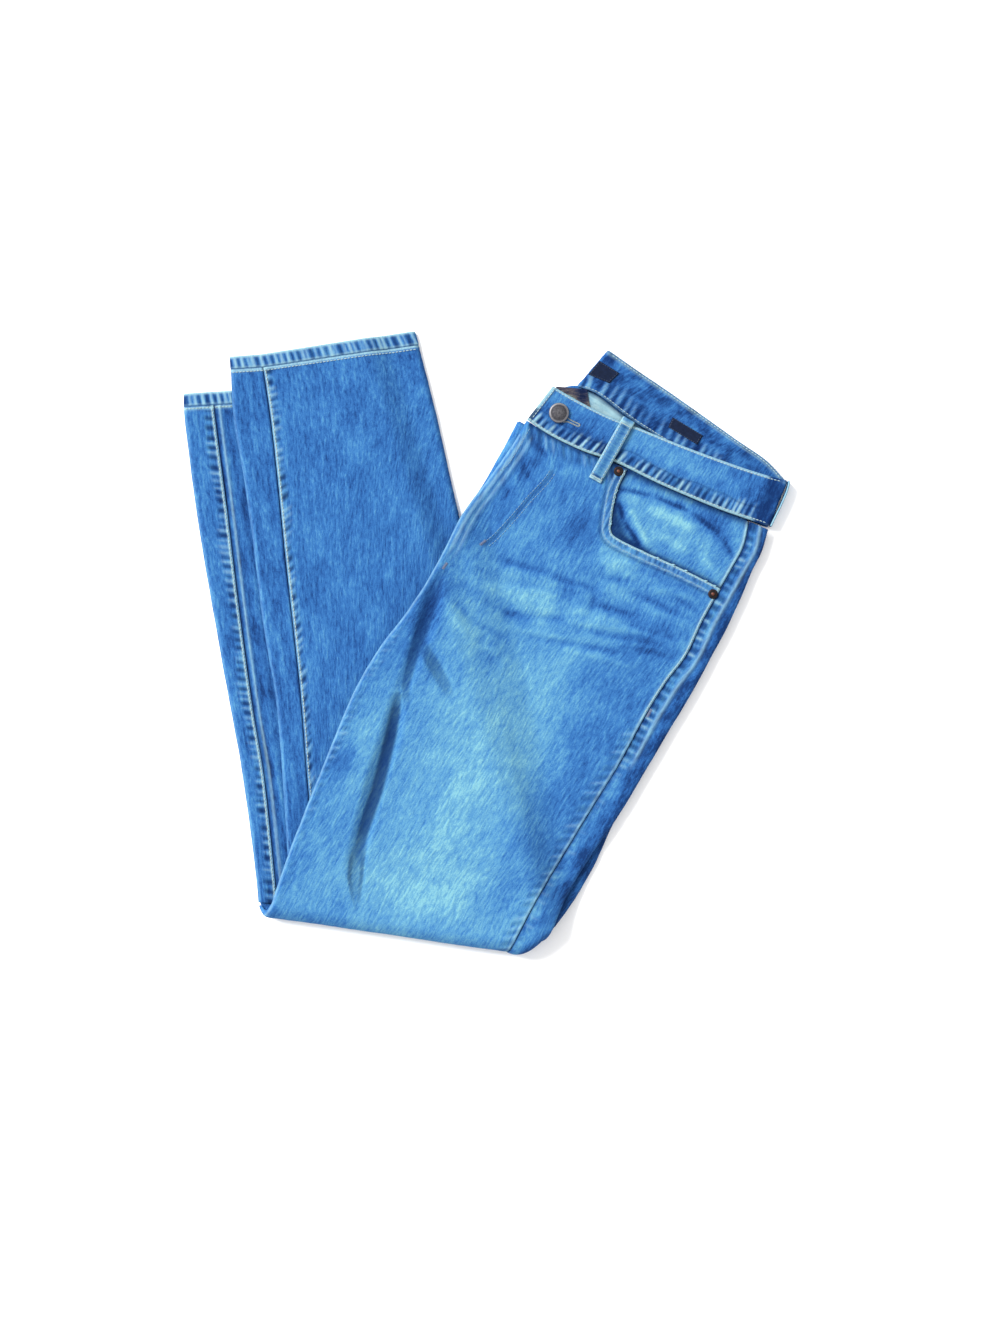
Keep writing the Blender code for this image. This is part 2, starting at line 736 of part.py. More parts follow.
def left_core():
    """What fills the left leg, all round the fold."""
    leg = LEFT_LEG
    tight = HALF - COVERED
    panel_end = leg.at_tilt(PANEL_END_TILT)
    grid = [left_thigh_ring(leg, at, COVERED, tight) for at in thigh_rows(leg, CORE_START)]
    grid.append(left_thigh_ring(leg, panel_end + 0.02, COVERED, tight))
    grid.append(left_thigh_ring(leg, panel_end + 0.05, 0.0, HALF))
    grid += [left_shin_ring(leg, at) for at in steps(leg.under, leg.hem_seam - 0.2, 16)]
    return capped("left_core", grid, DENIM_LOOK, into=CUTTERS)


def right_thigh_core():
    """The right thigh, which shows beyond the left one, as far as the fold."""
    leg = RIGHT_LEG
    rows = [CORE_START] + steps(0.5, leg.bend, 23)
    grid = []
    for at in rows:
        row = [leg.point(at, station) for station in round_edge("left", 0, 90)]
        for station in across("outer", HIDDEN_STEPS[::-1]) + round_edge("right", 90, 0):
            dropped = EDGE_DROP if station[0] == "right" or station[1] > 1.2 else 0.0
            row.append(leg.point(at, station, half=HALF - dropped))
        row += [leg.point(at, station) for station in round_edge("right", -30, -90)]
        for station in across("inner", HIDDEN_STEPS) + round_edge("left", -90, -30):
            lifted = EDGE_LIFT if station[1] < EDGE_LIFT_TO else 0.0
            row.append(leg.point(at, station, half=HALF - lifted))
        grid.append(row)
    return capped("right_thigh_core", grid, DENIM_LOOK, into=CUTTERS)


def right_shin_core():
    """What fills the right shin, up into the thigh before the shin comes out from under it."""
    leg = RIGHT_LEG
    tight = HALF - COVERED
    step = WRAP_UNDER + STEP_IN
    end = leg.hem_seam - 0.2
    lower = round_edge("left", 0, 90) + [("left", 90, step), ("left", 90, step + STEP)]
    lower += across("outer", [1.02, 1.2, 1.4] + SHIN_STEPS[4:-1]) + [("right", 90, STEP_IN)]
    edge = round_edge("right", 90, -60)
    upper = across("inner", SHIN_STEPS[::-1] + [1.0, 0.5]) + round_edge("left", -90, -30)
    grid = []
    for kind, part in SHIN_CORE_ROWS + [("shown", part) for part in steps(0, 1, SHIN_ROWS)]:
        row = []
        for k, station in enumerate(lower + edge + upper):
            shows = leg.under + emerges(station)
            if kind == "shown":
                at = shows + (end - shows) * part
            else:
                at = leg.under + max(emerges(station) * part, 0.0)
            top = k >= len(lower) + len(edge)
            inset = 0.0
            half = HALF
            if k <= 4 or (k >= len(lower) and kind == "shown"):
                inset = COVERED
                half = tight
            elif top or (k >= len(lower) and station[1] < 0):
                fold = kind == "fold" and top and station[1] < 1.8
                half = HALF + (FOLD_RISE if fold else OVERLAP)
            row.append(leg.point(at, station, inset, half=half))
            if kind == "fold":
                row[-1][:2] += FOLD_OUT * FOLD_FILL
        grid.append(row)
    return capped("right_shin_core", grid, DENIM_LOOK, into=CUTTERS)


def seat_core():
    """The back and right front between the two waist seams."""
    grid = [[(*point, height) for point in SEAT] for height in (SEAT_BOTTOM, SEAT_TOP)]
    return capped("seat_core", grid, DENIM_LOOK, into=CUTTERS)


def hidden_layers():
    whole = right_thigh_core()
    CUTTERS.objects.unlink(whole)
    JEANS.objects.link(whole)
    whole.name = "hidden_layers"
    for other in (right_shin_core(), seat_core(), left_core()):
        other.hide_render = True
        other.display_type = "WIRE"
        join = whole.modifiers.new("joined " + other.name, "BOOLEAN")
        join.object = other
        join.operation = "UNION"
        join.solver = "EXACT"


def band_layer(rows, height, count):
    table = values(rows)
    found = []
    for at in steps(0, len(table) - 1, count):
        row = between(table, at)
        found.append([np.array((*row[0:2], height)), np.array((*row[2:4], height))])
    return found


def band_turn(end, before, low, high, count=5):
    """The ribbon turning back over or under itself past the end of a layer."""
    radius = (high - low) / 2
    middle = (high + low) / 2
    found = []
    for part in steps(0, 1, count)[1:-1]:
        angle = math.pi * part
        pair = []
        for at_end, at_before in zip(end, before):
            run = at_end[:2] - at_before[:2]
            run /= np.linalg.norm(run)
            plan = at_end[:2] + run * radius * math.sin(angle)
            pair.append(np.array((*plan, middle + radius * math.cos(angle))))
        found.append(pair)
    return found


def waistband():
    layers = (
        band_layer(FRONT_LEFT_BAND, BAND_LEVELS[0], 12),
        band_layer(BACK_LEFT_BAND, BAND_LEVELS[1], 12),
        band_layer(BACK_LEFT_BAND[::-1], BAND_LEVELS[2], 12),
        band_layer(FRONT_RIGHT_BAND, BAND_LEVELS[3], 10),
    )
    path = list(layers[0])
    for upper, lower, high, low in zip(layers, layers[1:], BAND_LEVELS, BAND_LEVELS[1:]):
        path += band_turn(upper[-1], upper[-2], low, high) + list(lower)
    sheet("waistband", path, DENIM_LOOK, BAND_WALL, offset=0.0)


def back_left_inside():
    """The yoke's pale inner side, between the back and front waistbands."""
    table = values(YOKE)
    grid = []
    for at in steps(0, len(table) - 1, 12):
        row = between(table, at)
        grid.append([np.array((*row[0:2], INSIDE_TOP)), np.array((*row[2:4], INSIDE_TOP))])
    sheet("back_left_inside", grid, INSIDE_LOOK, DENIM, flip=True)


def belt_loop_front():
    start = np.array(LOOP_TOP)
    run = np.array(LOOP_END) - start
    run /= np.linalg.norm(run)
    side = np.array((-run[1], run[0])) * LOOP_WIDTH / 2
    rise = values(LOOP_RISE)
    grid = []
    for at in steps(0, len(rise) - 1, 16):
        along, height = between(rise, at)
        plan = start + run * along
        grid.append([np.array((*(plan - side * part), height)) for part in (-1.0, 0.0, 1.0)])
    sheet("belt_loop_front", grid, DENIM_LOOK, LOOP_WALL, flip=True)


def belt_loop_side():
    start = np.array(SIDE_LOOP_TOP)
    run = np.array(SIDE_LOOP_END) - start
    run /= np.linalg.norm(run)
    out = np.array((-run[1], run[0]))
    bow = values(SIDE_LOOP_BOW)
    grid = []
    for at in steps(0, len(bow) - 1, 10):
        along, away = between(bow, at)
        plan = start + run * along + out * away
        grid.append(
            [np.array((*plan, SIDE_LOOP_BOTTOM + LOOP_WIDTH * part)) for part in (0.0, 0.5, 1.0)]
        )
    sheet("belt_loop_side", grid, DENIM_LOOK, LOOP_WALL, offset=0.0)


def label(name, corners):
    top = BAND_LEVELS[1] + BAND_WALL / 2 + SPACE
    grid = [[(*corner, height) for corner in corners] for height in (top, top + LABEL_WALL)]
    capped(name, grid, LABEL_LOOK, flip=False)


def turned(name, profile, at, base, count, look):
    """A round piece: its half profile turned about a vertical axis."""
    points = [(row.radius, 0.0, row.height) for row in profile]
    mesh = bpy.data.meshes.new(name)
    edges = [(i, i + 1) for i in range(len(points) - 1)]
    mesh.from_pydata([tuple(MM * value for value in point) for point in points], edges, [])
    mesh.materials.append(look)
    made = bpy.data.objects.new(name, mesh)
    made.location = in_metres((*at, base))
    JEANS.objects.link(made)
    spin = made.modifiers.new("turned", "SCREW")
    spin.steps = count
    spin.render_steps = count
    spin.use_merge_vertices = True
    spin.merge_threshold = 0.00005
    spin.use_smooth_shade = True


def thigh_top(x, y):
    return thigh_bottom(np.array((x, y))) + 2 * TUBE


for old in list(bpy.data.objects):
    bpy.data.objects.remove(old, do_unlink=True)
JEANS = bpy.data.collections.new("slim_fit_jeans")
CUTTERS = bpy.data.collections.new("cutters")
bpy.context.scene.collection.children.link(JEANS)
bpy.context.scene.collection.children.link(CUTTERS)
DENIM_LOOK = material("denim", DENIM_BLUE, 0.85, 0.0)
INSIDE_LOOK = material("denim_inside", DENIM_INSIDE, 0.9, 0.0)
LABEL_LOOK = material("label_cloth", LABEL_NAVY, 0.7, 0.0)
BUTTON_LOOK = material("antique_metal", ANTIQUE_METAL, 0.4, 0.9)
RIVET_LOOK = material("rivet_copper", COPPER, 0.4, 0.9)

front_left()
back_left()
pocket_facing_left()
back_left_inside()
waistband()
belt_loop_front()
belt_loop_side()
front_right_shin()
shin_strip(RIGHT_LEG, "back_right_shin", 0.7)
hem(RIGHT_LEG, "hem_right")
shin_strip(LEFT_LEG, "front_left_shin", 0.04)
back_left_shin()
hem(LEFT_LEG, "hem_left")
hidden_layers()
label("label_waist", WAIST_LABEL)
label("label_size", SIZE_LABEL)
turned("button", BUTTON_PROFILE, BUTTON_AT, BAND_LEVELS[0] + BAND_WALL / 2 + SPACE, 32, BUTTON_LOOK)
for rivet, rivet_x, rivet_y in RIVETS:
    rivet_base = thigh_top(rivet_x, rivet_y) + SPACE + 0.1
    turned(rivet, RIVET_PROFILE, (rivet_x, rivet_y), rivet_base, 20, RIVET_LOOK)
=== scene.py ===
"""Folded slim fit jeans: the cloth, seams, stitching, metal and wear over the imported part.

Tables and sizes are in millimetres, in the frame of the part's own tables, whose middle is
CENTRE. Heights are above the surface that the jeans lie on.
"""

import math
from collections import namedtuple

import bpy
import numpy as np
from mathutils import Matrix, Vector
from mathutils.bvhtree import BVHTree


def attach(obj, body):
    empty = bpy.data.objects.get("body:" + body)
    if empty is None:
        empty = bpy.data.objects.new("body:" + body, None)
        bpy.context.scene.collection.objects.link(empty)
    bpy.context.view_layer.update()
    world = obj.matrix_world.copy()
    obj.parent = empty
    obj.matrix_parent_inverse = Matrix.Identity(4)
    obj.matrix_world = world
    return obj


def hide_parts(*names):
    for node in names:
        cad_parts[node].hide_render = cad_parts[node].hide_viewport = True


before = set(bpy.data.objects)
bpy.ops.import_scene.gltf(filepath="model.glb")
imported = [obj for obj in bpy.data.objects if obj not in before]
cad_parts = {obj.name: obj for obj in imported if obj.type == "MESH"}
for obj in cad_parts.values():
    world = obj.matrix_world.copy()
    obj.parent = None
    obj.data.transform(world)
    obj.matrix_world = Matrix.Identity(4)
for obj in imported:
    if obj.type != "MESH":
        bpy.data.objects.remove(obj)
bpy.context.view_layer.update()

MM = 0.001
CENTRE = np.array((-1.507, -0.318, 0.0))

# Cloth and how the four legs' layers lie on each other
DENIM = 1.2
PANEL_WALL = 1.1
TUBE = 6.4
HALF = TUBE / 2
SPACE = 0.3
PITCH = TUBE + SPACE
EDGE_ROUND = 5.0
SHIN_DROP = 26.0
THIGH_DROP = 34.0
WRAP_UNDER = 8.0
FOLD_OUT = np.array((-0.148, -0.989))
FOLD_ACROSS = np.array((0.989, -0.148))
FOLD_AT = np.array((15.5, -290.9))
FOLD_CLEAR = 15.0
FOLD_HOLD = 70.0
FOLD_SPARE = 0.9
FOLD_SHARE = 0.9
SEAM_DRIFT = -13.2
CORNER_BOW = 6.5
BAND_LEVELS = (12.0, 8.3, 4.8, 1.32)
BAND_WALL = 2.6
INSIDE_TOP = 9.0
LOOP_WIDTH = 12.5
LOOP_WALL = 1.8
BUTTON_AT = (65.9, 213.9)
GRID = 1.7
FINE = 600

Section = namedtuple("Section", "name left_x left_y seam_x seam_y right_x right_y")
Reveal = namedtuple("Reveal", "name left right")
Point = namedtuple("Point", "x y")
Line = namedtuple("Line", "x0 y0 x1 y1")
Crease = namedtuple("Crease", "x y depth half_width")
Band = namedtuple("Band", "name top_x top_y seam_x seam_y")
Rise = namedtuple("Rise", "along height")
Dip = namedtuple("Dip", "across depth")
Fold = namedtuple("Fold", "x0 y0 x1 y1 lift width")
Patch = namedtuple("Patch", "x y along across turn amount")
Mark = namedtuple("Mark", "line at width height worn shade fade", defaults=(0.0,) * 4)
Pattern = namedtuple("Pattern", "name across along deep detail turn roughness amount")


def rows_of(kind, *rows):
    """A table of named columns."""
    return tuple(kind(*row) for row in rows)


THIGH = rows_of(
    Section,
    ("waist seam", 36.1, 207.7, 243.9, 112.2, 261.7, 104.7),
    ("hip", 19.2, 179.6, 239.2, 89.8, 256.1, 85.1),
    ("pocket mouth", -2.3, 149.7, 228.9, 70.1, 246.7, 65.4),
    ("rivet", -23.8, 120.5, 215.6, 46.6, 235.3, 39.2),
    ("fly end", -40.6, 87.7, 200.4, 19.5, 222.9, 12.0),
    ("rise", -57.3, 56.7, 185.3, -12.3, 205.8, -19.8),
    ("crotch", -78.7, 24.0, 166.5, -37.5, 189.8, -48.7),
    ("upper thigh", -103.8, -8.6, 146.8, -69.1, 171.0, -80.3),
    ("mid thigh", -126.0, -47.7, 122.5, -113.8, 146.7, -121.2),
    ("lower thigh", -145.6, -94.3, 95.5, -157.6, 118.8, -167.8),
    ("above knee", -167.0, -147.3, 69.5, -200.4, 92.7, -205.0),
    ("knee hollow", -187.5, -200.4, 45.3, -239.5, 72.3, -239.5),
    ("knee bend", -201.5, -244.1, 24.8, -278.6, 61.1, -265.6),
)
WAIST_DIPS = rows_of(
    Dip,
    (0.0, 0.3),
    (0.12, 4.8),
    (0.27, 5.6),
    (0.42, 2.9),
    (0.61, 3.7),
    (0.86, 2.2),
    (1.0, -0.6),
    (1.2, -0.6),
)
WAIST_DOWN = np.array((-0.4176, -0.9086))
UNDER_THIGH = rows_of(
    Reveal,
    ("waist seam", 6.5, -2.0),
    ("hip", 4.5, -2.0),
    ("pocket mouth", 0.5, -2.0),
    ("rivet", -3.0, -2.0),
    ("fly end", -4.0, -2.0),
    ("rise", -5.0, -2.0),
    ("crotch", -6.0, -2.0),
    ("upper thigh", -6.0, -2.0),
    ("mid thigh", -7.0, -2.0),
    ("lower thigh", -8.0, -0.5),
    ("above knee", -10.0, 8.0),
    ("knee hollow", -14.0, 9.5),
    ("knee bend", -20.0, 2.0),
)
LEFT_SHIN = rows_of(
    Section,
    ("knee bend", -215.9, -245.1, -198.1, -246.9, 49.3, -268.5),
    ("below knee", -220.1, -202.8, -202.3, -202.8, 25.8, -202.8),
    ("upper shin", -230.9, -124.9, -210.8, -124.9, 2.4, -124.9),
    ("mid shin", -242.7, -59.2, -221.5, -59.2, -18.3, -59.2),
    ("shin", -259.6, 34.7, -234.2, 33.8, -46.5, 34.7),
    ("lower shin", -273.7, 119.2, -244.6, 119.2, -72.7, 119.2),
    ("above hem", -283.5, 194.3, -254.4, 194.3, -94.3, 197.1),
    ("hem seam", -285.9, 219.7, -257.7, 221.5, -101.8, 230.0),
    ("hem edge", -285.9, 232.8, -258.6, 234.7, -105.6, 242.2),
)
RIGHT_SHIN = rows_of(
    Section,
    ("knee bend", -185.8, -244.4, -158.6, -246.3, 56.7, -260.3),
    ("below knee", -188.6, -194.8, -163.3, -194.8, 39.8, -199.5),
    ("upper shin", -193.3, -119.9, -169.9, -119.9, 23.0, -124.6),
    ("mid shin", -199.8, -49.7, -175.5, -49.7, 8.0, -54.4),
    ("shin", -211.1, 15.8, -182.6, 15.8, -7.9, 20.5),
    ("lower shin", -219.6, 86.1, -190.5, 86.1, -22.0, 90.8),
    ("calf", -229.0, 151.7, -197.2, 153.6, -37.0, 161.1),
    ("above hem", -238.5, 208.0, -203.8, 210.8, -51.0, 222.1),
    ("hem seam", -241.4, 254.0, -210.5, 255.9, -65.1, 277.5),
    ("hem edge", -242.4, 266.7, -212.4, 269.0, -69.4, 291.6),
)
RIGHT_SHIN_EDGE = Line(-69.0, 291.0, 55.9, -279.8)
LEFT_SHIN_EDGE = Line(-106.5, 242.2, 49.3, -270.4)

# Troughs pressed into the top thigh: the long one in two lengths, and its side branch
CREASES = (
    rows_of(
        Crease,
        (-46.9, 60.3, 1.5, 8.0),
        (-53.4, 40.7, 3.4, 12.0),
        (-57.1, 20.2, 4.0, 13.0),
        (-63.6, -1.2, 3.8, 12.0),
        (-72.0, -24.4, 2.6, 10.0),
        (-79.5, -43.0, 1.8, 9.0),
    ),
    rows_of(
        Crease,
        (-83.2, -54.2, 3.2, 10.0),
        (-91.6, -89.6, 4.4, 12.0),
        (-104.6, -128.7, 4.5, 12.0),
        (-116.7, -175.2, 4.0, 11.0),
        (-124.1, -206.8, 2.6, 11.0),
        (-121.3, -244.0, 0.0, 8.0),
    ),
    rows_of(
        Crease,
        (-56.2, -7.7, 2.0, 10.0),
        (-46.9, -24.4, 2.2, 11.0),
        (-36.7, -46.8, 0.6, 9.0),
    ),
)
POCKET_MOUTH = rows_of(
    Point,
    (130.5, 162.6),
    (120.2, 141.1),
    (115.5, 116.8),
    (114.6, 104.6),
    (120.2, 97.1),
    (146.4, 84.0),
    (175.4, 70.9),
    (205.3, 56.0),
    (218.5, 48.5),
)
POCKET_OUTSIDE = rows_of(Point, (245.0, 40.0), (275.0, 125.0), (140.0, 190.0))
FRONT_LEFT_BAND = rows_of(
    Band,
    ("fly end", 60.4, 239.2, 36.1, 207.9),
    ("button", 80.9, 227.1, 56.6, 193.9),
    ("buttonhole", 111.8, 211.2, 87.5, 178.9),
    ("belt loop", 141.7, 199.5, 119.3, 167.7),
    ("hip", 184.7, 182.2, 161.3, 147.2),
    ("pocket", 230.5, 165.4, 211.8, 125.7),
    ("outseam", 259.5, 156.0, 243.6, 114.4),
    ("side", 277.3, 151.5, 259.5, 108.9),
)
BACK_LEFT_BAND = rows_of(
    Band,
    ("side", 277.3, 151.7, 259.5, 108.9),
    ("outseam", 259.9, 170.4, 235.6, 136.6),
    ("back hip", 232.8, 189.1, 200.9, 165.7),
    ("size label", 200.0, 212.5, 168.1, 186.3),
    ("back", 168.1, 235.0, 134.4, 207.8),
    ("waist label", 139.1, 254.6, 103.5, 231.2),
    ("centre back", 114.4, 272.0, 85.4, 238.5),
)
FRONT_RIGHT_BAND = rows_of(
    Band,
    ("side", 277.3, 151.5, 259.5, 108.4),
    ("pocket", 217.5, 178.5, 198.7, 131.5),
    ("hip", 161.1, 204.8, 142.4, 161.6),
    ("belt loop", 123.6, 225.5, 102.9, 182.3),
    ("button", 86.0, 240.5, 67.2, 201.1),
    ("fly end", 63.4, 236.8, 48.4, 207.6),
)
YOKE = rows_of(
    Band,
    ("centre back", 85.2, 236.8, 42.0, 206.6),
    ("waist label", 103.2, 229.6, 66.0, 195.2),
    ("back", 133.8, 206.3, 106.0, 176.2),
    ("size label", 167.4, 184.9, 146.0, 156.8),
    ("back hip", 200.2, 164.3, 184.0, 140.2),
    ("outseam", 234.6, 135.3, 224.0, 122.6),
    ("side", 247.0, 121.8, 240.0, 115.2),
)
LOOP_TOP = Point(129.0, 203.5)
LOOP_END = Point(99.6, 151.2)
LOOP_RISE = rows_of(
    Rise,
    (-4.5, 11.4),
    (-4.4, 14.6),
    (-2.6, 16.2),
    (6.0, 16.9),
    (22.0, 17.4),
    (40.0, 17.1),
    (52.0, 16.2),
    (57.5, 15.6),
    (60.2, 15.4),
)
SIDE_LOOP_TOP = Point(280.1, 150.4)
SIDE_LOOP_END = Point(262.3, 107.4)
SIDE_LOOP_BOTTOM = 0.8
SIDE_LOOP_BOW = rows_of(
    Rise,
    (-0.5, 1.9),
    (4.5, 3.9),
    (12.0, 4.9),
    (24.0, 4.4),
    (36.0, 3.1),
    (45.0, 2.3),
)

# Fly and pocket stitching, as plan curves
FLY_CURVE = rows_of(
    Point,
    (57.5, 160.4),
    (51.0, 151.1),
    (36.0, 135.2),
    (20.1, 116.6),
    (5.2, 100.7),
    (-5.1, 92.3),
)
FLY_EDGE = rows_of(Point, (38.8, 199.7), (29.5, 183.8), (19.2, 167.0), (9.9, 159.5))

# Soft whiskers over the hip: pale ridges, and hollows between them
WHISKERS = rows_of(
    Fold,
    (-37.7, 62.4, 66.8, 25.1, 0.7, 7.0),
    (-17.2, 76.4, 66.8, 53.1, 0.5, 6.0),
    (10.8, 48.4, 66.8, 27.9, 0.7, 6.0),
    (66.8, 39.1, 141.5, 1.7, 0.5, 5.0),
    (104.2, 76.4, 188.2, 39.1, 0.6, 6.0),
    (94.8, 57.7, 197.6, 15.7, 0.5, 5.0),
    (122.9, 1.7, 188.2, -7.6, 0.4, 5.0),
    (94.8, 25.1, 188.2, -3.0, 0.5, 4.5),
    (-45.2, 39.1, -7.9, 1.7, 0.6, 8.0),
    (-35.9, 57.7, 29.5, 34.4, -0.5, 5.0),
    (1.5, 81.1, 52.8, 62.4, -0.5, 5.0),
    (10.8, 29.7, 52.8, 1.7, -0.6, 7.0),
    (94.8, 39.1, 150.9, 15.7, -0.5, 4.0),
    (66.8, 67.1, 80.8, 29.7, -0.6, 6.0),
    (122.9, 48.4, 178.9, 25.1, -0.5, 4.0),
    (113.5, 12.9, 188.2, -12.3, -0.5, 4.0),
    (-12.5, 1.7, 10.8, -26.3, -0.5, 6.0),
    (104.2, 67.1, 94.8, 20.4, -0.5, 5.0),
    (11.7, 26.9, 75.2, 19.5, -0.7, 3.2),
    (78.0, 12.9, 161.1, -3.0, -0.7, 3.2),
    (37.9, 5.4, 141.5, -13.2, -0.7, 3.2),
    (105.1, 61.5, 161.1, 49.3, -0.7, 3.2),
    (161.1, 49.3, 201.3, 26.0, -0.7, 3.2),
    (130.3, 49.3, 189.2, 19.5, -0.7, 3.2),
    (118.2, 18.5, 179.8, 1.7, -0.7, 3.2),
    (130.3, -3.9, 179.8, -17.0, -0.7, 3.2),
    (-7.9, 39.1, 38.8, 18.5, -0.7, 3.2),
    (-17.2, 20.4, 20.1, 1.7, -0.7, 3.2),
    (94.8, 35.3, 141.5, 24.1, -0.7, 3.2),
    (52.8, 62.4, 104.2, 48.4, -0.7, 3.2),
    (10.8, 76.4, 66.8, 62.4, -0.7, 3.2),
    (-31.2, 39.1, -12.5, 15.7, -0.7, 3.2),
    (-2.3, 52.1, 66.8, 42.8, 0.7, 3.4),
    (66.8, 22.3, 150.9, 7.3, 0.7, 3.4),
    (10.8, 15.7, 76.2, 1.7, 0.7, 3.4),
    (66.8, -5.8, 141.5, -24.4, 0.7, 3.4),
    (122.9, 57.7, 197.6, 39.1, 0.7, 3.4),
    (-21.9, 1.7, 10.8, -12.3, 0.7, 3.4),
    (104.2, 76.4, 141.5, 70.8, 0.7, 3.4),
    (141.5, 33.5, 197.6, 9.2, 0.7, 3.4),
    (-40.5, 39.1, -17.2, 1.7, 0.7, 3.4),
)

# Short folds under the waistband beside the fly
FLY_FOLDS = rows_of(
    Fold,
    (33.2, 188.5, 46.3, 167.9, 0.7, 3.0),
    (40.7, 192.2, 55.6, 171.7, -0.8, 3.0),
    (49.1, 188.5, 64.0, 167.9, 0.6, 3.0),
    (27.6, 174.5, 38.8, 151.1, -0.8, 3.0),
    (20.1, 162.3, 31.4, 138.0, 0.6, 3.0),
    (56.6, 182.9, 69.6, 160.4, -0.6, 3.0),
    (10.8, 160.4, 20.1, 132.4, -0.6, 3.0),
    (63.1, 174.5, 72.4, 151.1, 0.4, 3.0),
    (80.8, 197.8, 94.8, 174.5, -0.4, 3.0),
)

# Painted shade in the bottoms of the creases: how dark, and their half widths
CREASE_DARK = (
    rows_of(
        Crease,
        (-40.6, 70.9, 0.15, 4.0),
        (-50.9, 43.8, 0.5, 7.5),
        (-62.1, 11.1, 0.62, 8.0),
        (-70.5, -15.1, 0.62, 6.0),
        (-77.0, -40.3, 0.55, 4.6),
        (-76.1, -61.8, 0.15, 4.0),
    ),
    rows_of(
        Crease,
        (-83.6, -48.7, 0.3, 3.5),
        (-86.4, -63.7, 0.82, 6.0),
        (-91.1, -87.0, 0.92, 7.6),
        (-96.7, -110.4, 0.92, 7.6),
        (-103.2, -135.6, 0.92, 7.8),
        (-109.7, -155.3, 0.9, 7.6),
        (-116.3, -175.8, 0.84, 6.8),
        (-121.4, -196.4, 0.6, 6.2),
        (-123.8, -215.1, 0.36, 5.5),
        (-123.8, -231.9, 0.28, 5.0),
        (-122.8, -246.8, 0.0, 3.0),
    ),
    rows_of(
        Crease,
        (-64.9, 1.7, 0.3, 6.0),
        (-52.7, -18.8, 0.5, 8.0),
        (-39.7, -41.3, 0.3, 6.5),
        (-33.1, -54.3, 0.0, 4.0),
    ),
    rows_of(
        Crease,
        (-121.9, -185.2, 0.2, 3.0),
        (-127.5, -202.0, 0.7, 2.8),
        (-129.4, -218.8, 0.7, 2.6),
        (-125.6, -239.4, 0.3, 2.4),
        (-122.8, -247.8, 0.1, 2.0),
    ),
    rows_of(
        Crease,
        (-114.4, -185.2, 0.2, 3.0),
        (-117.2, -203.9, 0.7, 2.8),
        (-118.2, -218.8, 0.66, 2.6),
        (-121.0, -241.2, 0.3, 2.4),
    ),
    rows_of(
        Crease,
        (-73.3, 27.9, 0.15, 5.0),
        (-81.7, 18.6, 0.42, 6.5),
        (-88.2, 7.3, 0.1, 4.0),
    ),
)

# Folds of the pocket facing, and where it is paler, deeper and in shadow
FACING_FOLDS = rows_of(
    Fold,
    (121.0, 132.4, 126.6, 113.8, -1.0, 2.6),
    (126.6, 113.8, 143.4, 87.6, -1.0, 2.6),
    (130.3, 127.8, 150.9, 87.6, 0.8, 3.4),
    (116.3, 144.6, 155.5, 136.2, -0.8, 2.4),
    (155.5, 136.2, 190.1, 121.2, -0.9, 2.6),
    (190.1, 121.2, 218.1, 99.8, -0.8, 3.0),
    (218.1, 99.8, 230.2, 76.4, -0.6, 3.0),
    (146.2, 126.8, 197.6, 104.4, 0.7, 5.0),
    (150.9, 104.4, 188.2, 83.9, 0.5, 5.0),
    (127.5, 149.2, 197.6, 129.6, 0.35, 3.5),
    (197.6, 83.9, 218.1, 57.7, 0.5, 4.0),
)
FACING_FADE = rows_of(
    Patch,
    (171.4, 104.4, 34.0, 15.0, -28.0, 0.24),
    (208.8, 113.8, 16.0, 12.0, -60.0, -0.2),
    (141.5, 132.4, 24.0, 8.0, -18.0, 0.1),
    (202.2, 62.4, 16.0, 9.0, -40.0, 0.12),
)
FACING_SHADE = rows_of(
    Patch,
    (121.0, 109.1, 17.0, 6.0, -75.0, 0.75),
    (134.1, 90.4, 14.0, 7.0, -40.0, 0.6),
    (197.6, 53.1, 14.0, 5.0, -26.0, 0.3),
)

# The waistband: its base, and where its front is paler or deeper
BAND_FADE = 0.37
BAND_PATCHES = rows_of(
    Patch,
    (160.2, 179.1, 60.0, 14.0, -24.0, 0.2),
    (197.6, 160.4, 30.0, 12.0, -24.0, 0.08),
    (258.2, 137.1, 22.0, 16.0, -24.0, -0.12),
    (80.8, 199.7, 40.0, 10.0, -30.0, -0.16),
    (104.2, 188.5, 26.0, 16.0, -30.0, -0.14),
    (62.2, 230.5, 24.0, 9.0, -30.0, 0.16),
    (134.1, 195.9, 12.0, 20.0, -60.0, 0.1),
)

# What shows of the fly lining, behind the front band
LINING_LEVEL = 9.9
FLY_LINING = rows_of(
    Band,
    ("tip", 63.2, 239.1, 64.2, 234.9),
    ("brown", 70.7, 238.6, 72.6, 230.2),
    ("fold", 79.1, 237.7, 82.9, 224.6),
    ("navy", 85.7, 237.1, 90.4, 219.9),
    ("end", 92.2, 236.2, 96.0, 216.1),
)
